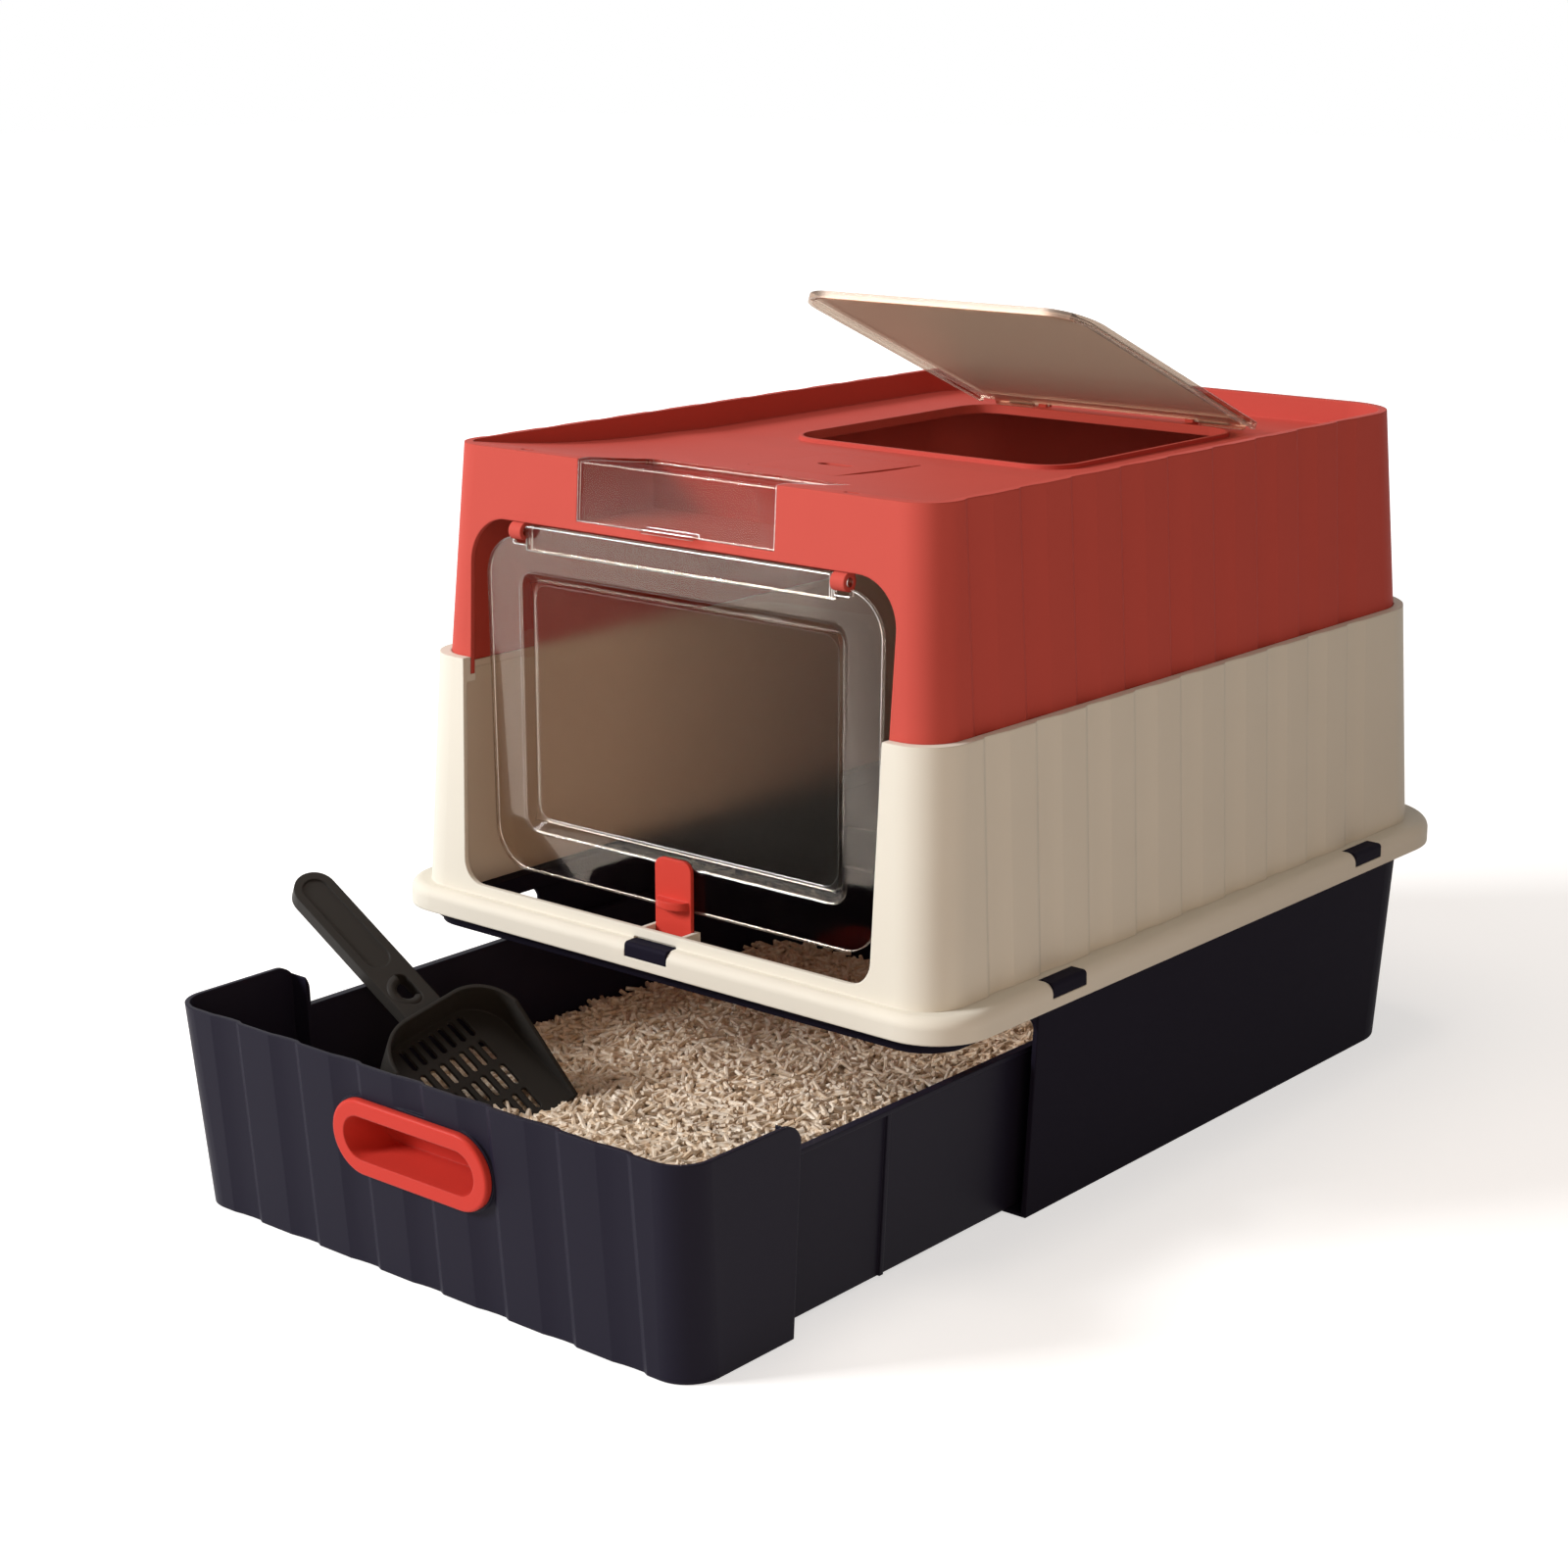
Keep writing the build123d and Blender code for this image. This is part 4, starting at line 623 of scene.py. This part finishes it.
@dataclass
class Scoop:
    """The litter scoop: its body is the CAD node, and its hook curls over the eye in the handle."""

    grey: MouldedPlastic = MouldedPlastic("Charcoal PP, scoop", "#302E2C", roughness=0.42, sheen=0.15)
    tip: Vector = field(default_factory=lambda: Vector((-60.5, -306.5, 29.7)) * MM)
    forward: Vector = field(default_factory=lambda: Vector((0.8249, 0.0613, -0.562)))    # towards the tip
    across: Vector = field(default_factory=lambda: Vector((0.0948, 0.965, 0.2444)))
    blade: float = 84 * MM
    half: float = 44 * MM              # half the blade's width
    eye_middle: float = 18 * MM        # from the blade's rear to the middle of the eye
    hook_radius: float = 8.5 * MM
    hook_thick: float = 3.2 * MM       # the finger's own radius
    hook_flat: float = 0.8             # its height as a share of its width
    hook_top: float = 16 * MM
    hook_fall: float = 0.08 * MM       # at each step of the sweep
    hook_sweep: float = 215.0          # degrees
    hook_steps: int = 24
    hook_sides: int = 12

    def axes(self) -> Matrix:
        """The scoop's own frame.

        Returns:
            A matrix from the scoop's frame, x towards the tip and z out of the blade, to the row frame.
        """
        forward = self.forward.normalized()
        normal = forward.cross(self.across).normalized()
        side = normal.cross(forward)
        turn = Matrix((forward, side, normal)).transposed().to_4x4()
        return Matrix.Translation(self.tip) @ turn

    def hook(self, material: bpy.types.Material) -> bpy.types.Object:
        """The finger that curls over the eye.

        Args:
            material: the scoop's finish.

        Returns:
            The piece.
        """
        form = bmesh.new()
        middle = Vector((-self.blade - self.eye_middle, 0, self.hook_top))
        ring = bmesh.ops.create_circle(form, cap_ends=False, segments=self.hook_sides,
                                       radius=self.hook_thick)["verts"]
        bmesh.ops.rotate(form, verts=ring, cent=ORIGIN, matrix=Matrix.Rotation(QUARTER_TURN, 3, "X"))
        bmesh.ops.scale(form, verts=ring, vec=(1, 1, self.hook_flat))
        bmesh.ops.translate(form, verts=ring, vec=middle + Vector((-self.hook_radius, 0, 0)))
        bmesh.ops.spin(form, geom=list(form.edges), cent=middle, axis=(0, 0, 1), dvec=(0, 0, -self.hook_fall),
                       angle=math.radians(self.hook_sweep), steps=self.hook_steps)
        loose = [edge for edge in form.edges if edge.is_boundary]
        bmesh.ops.holes_fill(form, edges=loose, sides=0)
        bmesh.ops.recalc_face_normals(form, faces=form.faces)
        bmesh.ops.transform(form, matrix=self.axes(), verts=form.verts)
        for face in form.faces:
            face.smooth = True
        return make_object("scoop_hook", form, material)

    def build(self) -> None:
        """Dress the scoop and add its hook."""
        dress("scoop", self.grey)
        place_piece(self.hook(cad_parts["scoop"].data.materials[0]), Body.SCOOP)


@dataclass
class Litter:
    """Thousands of short pressed sticks on the litter bed, some of them over the scoop's edge."""

    finish: PressedPellet = PressedPellet("Pressed tofu pellets", "#F1E7D8", "#CFB79A")
    scoop: Scoop = field(default_factory=Scoop)
    seed: int = 7
    count: int = 19000
    batches: int = 4
    thick: float = 2.6 * MM
    shortest: float = 9.0 * MM
    longest: float = 15.0 * MM
    sides: int = 6
    tilt: float = 0.26                 # radians, how far the sticks lie out of level
    sink: float = 4.0 * MM             # the mass below the sticks is this much lower than the CAD solid
    pile: float = 6.0 * MM             # depth of the loose top layer
    swell: float = 2.0 * MM            # how far low waves take that layer up and down
    swell_length: float = 45 * MM
    bed_middle: float = 10.0 * MM      # height that parts the bed's upper face from its lower one
    front: tuple[float, float] = (-433 * MM, -357 * MM)    # where the tub's wide front begins and ends
    front_half: float = 177 * MM
    rear: float = 38 * MM
    rear_half: float = 165 * MM
    margin: float = 7.0 * MM
    rear_corner: float = 32 * MM
    bed_ray: float = 0.2               # metres up that the rays down to the bed start
    blade_ray: float = 0.3             # and the rays down to the scoop
    over_tip: float = 30 * MM          # sticks lie on this much of the blade
    over_chance: float = 0.75          # share of the sticks there that stay on it
    over_lift: float = 0.8             # the layer's depth there, as a share of the pile
    tip_reach: float = 0.35            # how far over the blade's middle they reach at its tip, in half widths
    reach_loss: float = 0.9            # and how much less that is at the far end of over_tip
    under_gap: float = 3.0             # sticks lie under the blade where it is this many thicknesses higher

    def bed(self, material: bpy.types.Material) -> bpy.types.Object:
        """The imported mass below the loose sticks.

        Args:
            material: the pellets' finish.

        Returns:
            The piece.
        """
        form = merged_copy("litter_bed")
        upper = [vert for vert in form.verts if vert.co.z > self.bed_middle]
        bmesh.ops.translate(form, verts=upper, vec=(0, 0, -self.sink))
        return make_object("litter_bed_mass", form, material)

    def stick(self) -> tuple[list[Vector], list[list[int]]]:
        """One stick of unit length and thickness, lying along X.

        Returns:
            Its vertices and faces.
        """
        form = bmesh.new()
        bmesh.ops.create_cone(form, cap_ends=True, segments=self.sides, radius1=0.5, radius2=0.5, depth=1.0)
        bmesh.ops.rotate(form, verts=form.verts, cent=ORIGIN, matrix=Matrix.Rotation(QUARTER_TURN, 3, "Y"))
        form.verts.index_update()
        points = [vert.co.copy() for vert in form.verts]
        faces = [[vert.index for vert in face.verts] for face in form.faces]
        form.free()
        return points, faces

    def inside(self, x: float, y: float) -> bool:
        """Whether a stick's middle may lie at a spot, clear of the tub's walls.

        Args:
            x: across the drawer, in metres.
            y: along it, in metres.

        Returns:
            True where it may.
        """
        if y < self.front[0] + self.margin or y > self.rear - self.margin:
            return False
        half = self.front_half if y < self.front[1] - self.margin else self.rear_half
        if abs(x) > half - self.margin:
            return False
        corner_x = abs(x) - (self.rear_half - self.rear_corner)
        corner_y = y - (self.rear - self.rear_corner)
        if corner_x > 0 and corner_y > 0:
            return math.hypot(corner_x, corner_y) < self.rear_corner - self.margin
        return True

    def half_way(self, along: float) -> float:
        """How far across the blade the sticks reach, at a distance along it."""
        return self.scoop.half * (self.tip_reach + self.reach_loss * along / self.over_tip)

    def places(self, bed: BVHTree, blade: BVHTree) -> list[Matrix]:
        """Where the loose sticks lie.

        Args:
            bed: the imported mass.
            blade: the scoop.

        Returns:
            One matrix for each stick, from the unit stick to the row frame.
        """
        dice = random.Random(self.seed)
        to_scoop = self.scoop.axes().inverted()
        down = Vector((0, 0, -1))
        found: list[Matrix] = []
        while len(found) < self.count:
            x = dice.uniform(-self.front_half, self.front_half)
            y = dice.uniform(self.front[0], self.rear)
            length = dice.uniform(self.shortest, self.longest)
            turn = Euler((0, dice.gauss(0, self.tilt), dice.uniform(0, math.tau))).to_matrix().to_4x4()
            lift = dice.uniform(0, self.pile)
            chance = dice.random()
            if not self.inside(x, y):
                continue
            ground = bed.ray_cast(Vector((x, y, self.bed_ray)), down)[0]
            if ground is None:
                continue
            swell = self.swell * noise.noise(Vector((x, y, 0)) / self.swell_length)
            spot = Vector((x, y, ground.z + lift + swell))
            cover = blade.ray_cast(Vector((x, y, self.blade_ray)), down)[0]
            if cover is not None:
                local = to_scoop @ cover
                on_blade = local.x > -self.over_tip and local.y < self.half_way(local.x)
                if on_blade and chance < self.over_chance:
                    spot = cover + Vector((0, 0, self.thick * 0.5 + lift * self.over_lift))
                elif cover.z - spot.z < self.under_gap * self.thick:
                    continue
            size = Matrix.Diagonal((length, self.thick, self.thick, 1))
            found.append(Matrix.Translation(spot) @ turn @ size)
        return found

    def scatter(self, number: int, places: Sequence[Matrix],
                material: bpy.types.Material) -> bpy.types.Object:
        """One batch of sticks as a piece.

        Args:
            number: the batch's number.
            places: the matrices of its sticks.
            material: the pellets' finish.

        Returns:
            The piece.
        """
        points, faces = self.stick()
        verts = [place @ point for place in places for point in points]
        step = len(points)
        rings = [[index + step * turn for index in ring] for turn in range(len(places)) for ring in faces]
        mesh = bpy.data.meshes.new(f"litter_sticks_{number}")
        mesh.from_pydata(verts, [], rings)
        return object_of(mesh, material)

    def build(self) -> None:
        """Make the bed and its loose sticks."""
        material = self.finish.material()
        bed = self.bed(material)
        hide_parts("litter_bed")
        place_piece(bed, Body.DRAWER)
        ground = bmesh.new()
        ground.from_mesh(bed.data)
        scoop = merged_copy("scoop")
        places = self.places(BVHTree.FromBMesh(ground), BVHTree.FromBMesh(scoop))
        ground.free()
        scoop.free()
        share = len(places) // self.batches
        for number in range(self.batches):
            piece = self.scatter(number + 1, places[number * share:(number + 1) * share], material)
            place_piece(piece, Body.DRAWER)


@dataclass(frozen=True)
class Lamp:
    """A soft square area lamp."""

    name: str
    place: tuple[float, float, float]     # metres
    target: tuple[float, float, float]    # the point that it faces
    size: float                           # length of its side in metres
    power: float                          # watts
    colour: str = "#FFFFFF"

    def build(self) -> None:
        """Hang the lamp."""
        data = bpy.data.lights.new(self.name, "AREA")
        data.shape = "SQUARE"
        data.size = self.size
        data.energy = self.power
        data.color = linear(self.colour)[:3]
        thing = bpy.data.objects.new(self.name, data)
        bpy.context.scene.collection.objects.link(thing)
        aim = (Vector(self.target) - Vector(self.place)).to_track_quat("-Z", "Y")
        thing.matrix_world = Matrix.Translation(self.place) @ aim.to_matrix().to_4x4()


@dataclass
class Studio:
    """Camera, lamps, world and floor. The camera stands where the photograph was taken from."""

    position: tuple[float, float, float] = (1.0178, -1.3577, 0.6284)
    azimuth: float = 40.149
    elevation: float = 14.907
    lens: float = 66.88
    sensor: float = 36.0
    clip: tuple[float, float] = (0.01, 100.0)
    world_strength: float = 0.12
    surround: str = "#FFF1E2"
    lamps: tuple[Lamp, ...] = (
        Lamp("key", (-3.2, -4.2, 2.8), (0, -0.2, 0.2), size=1.7, power=345),
        Lamp("fill", (2.5, -2.0, 0.9), (0, 0, 0.2), size=1.2, power=21, colour="#FFDABC"),
        Lamp("top", (-0.2, -0.3, 2.4), (0, 0, 0.3), size=1.2, power=14, colour="#FFF2E6"))
    ground: StudioFloor = StudioFloor("Studio floor, white")
    floor_half: float = 12.0

    def camera(self) -> None:
        """Set the camera at the photograph's view."""
        data = bpy.data.cameras.new("camera")
        data.lens = self.lens
        data.sensor_width = self.sensor
        data.sensor_fit = "HORIZONTAL"
        data.clip_start, data.clip_end = self.clip
        thing = bpy.data.objects.new("camera", data)
        bpy.context.scene.collection.objects.link(thing)
        turn, tilt = math.radians(self.azimuth), math.radians(self.elevation)
        back = Vector((math.sin(turn) * math.cos(tilt), -math.cos(turn) * math.cos(tilt), math.sin(tilt)))
        right = Vector((math.cos(turn), math.sin(turn), 0))
        up = back.cross(right)
        axes = Matrix((right, up, back)).transposed().to_4x4()
        thing.matrix_world = Matrix.Translation(self.position) @ axes
        bpy.context.scene.camera = thing

    def world(self) -> None:
        """A white surround: plain light on the object, white to the camera."""
        world = bpy.data.worlds.new("surround")
        bpy.context.scene.world = world
        world.use_nodes = True
        tree = world.node_tree
        tree.nodes.clear()
        lit = add_node(tree, "ShaderNodeBackground",
                       {"Color": linear(self.surround), "Strength": self.world_strength})
        white = add_node(tree, "ShaderNodeBackground", {"Color": WHITE, "Strength": 1.0})
        both = mix_shaders(tree, backdrop_share(tree), lit.outputs["Background"],
                           white.outputs["Background"])
        add_node(tree, "ShaderNodeOutputWorld", {"Surface": both})

    def floor(self) -> None:
        """The floor below the object."""
        form = bmesh.new()
        bmesh.ops.create_grid(form, x_segments=1, y_segments=1, size=self.floor_half)
        floor = make_object("studio_floor", form, self.ground.material())

    def build(self) -> None:
        """Set up the whole studio."""
        bpy.context.scene.view_settings.view_transform = "Standard"
        self.camera()
        self.world()
        for lamp in self.lamps:
            lamp.build()
        self.floor()


def main() -> None:
    """Build every part of the scene in order and report it."""
    logging.basicConfig(level=logging.INFO, format="%(name)s: %(message)s")
    for part in (Studio(), Hood(), ClearParts(), Drawer(), Scoop(), Litter()):
        part.build()
    bpy.context.view_layer.update()


if __name__ == "__main__":
    main()
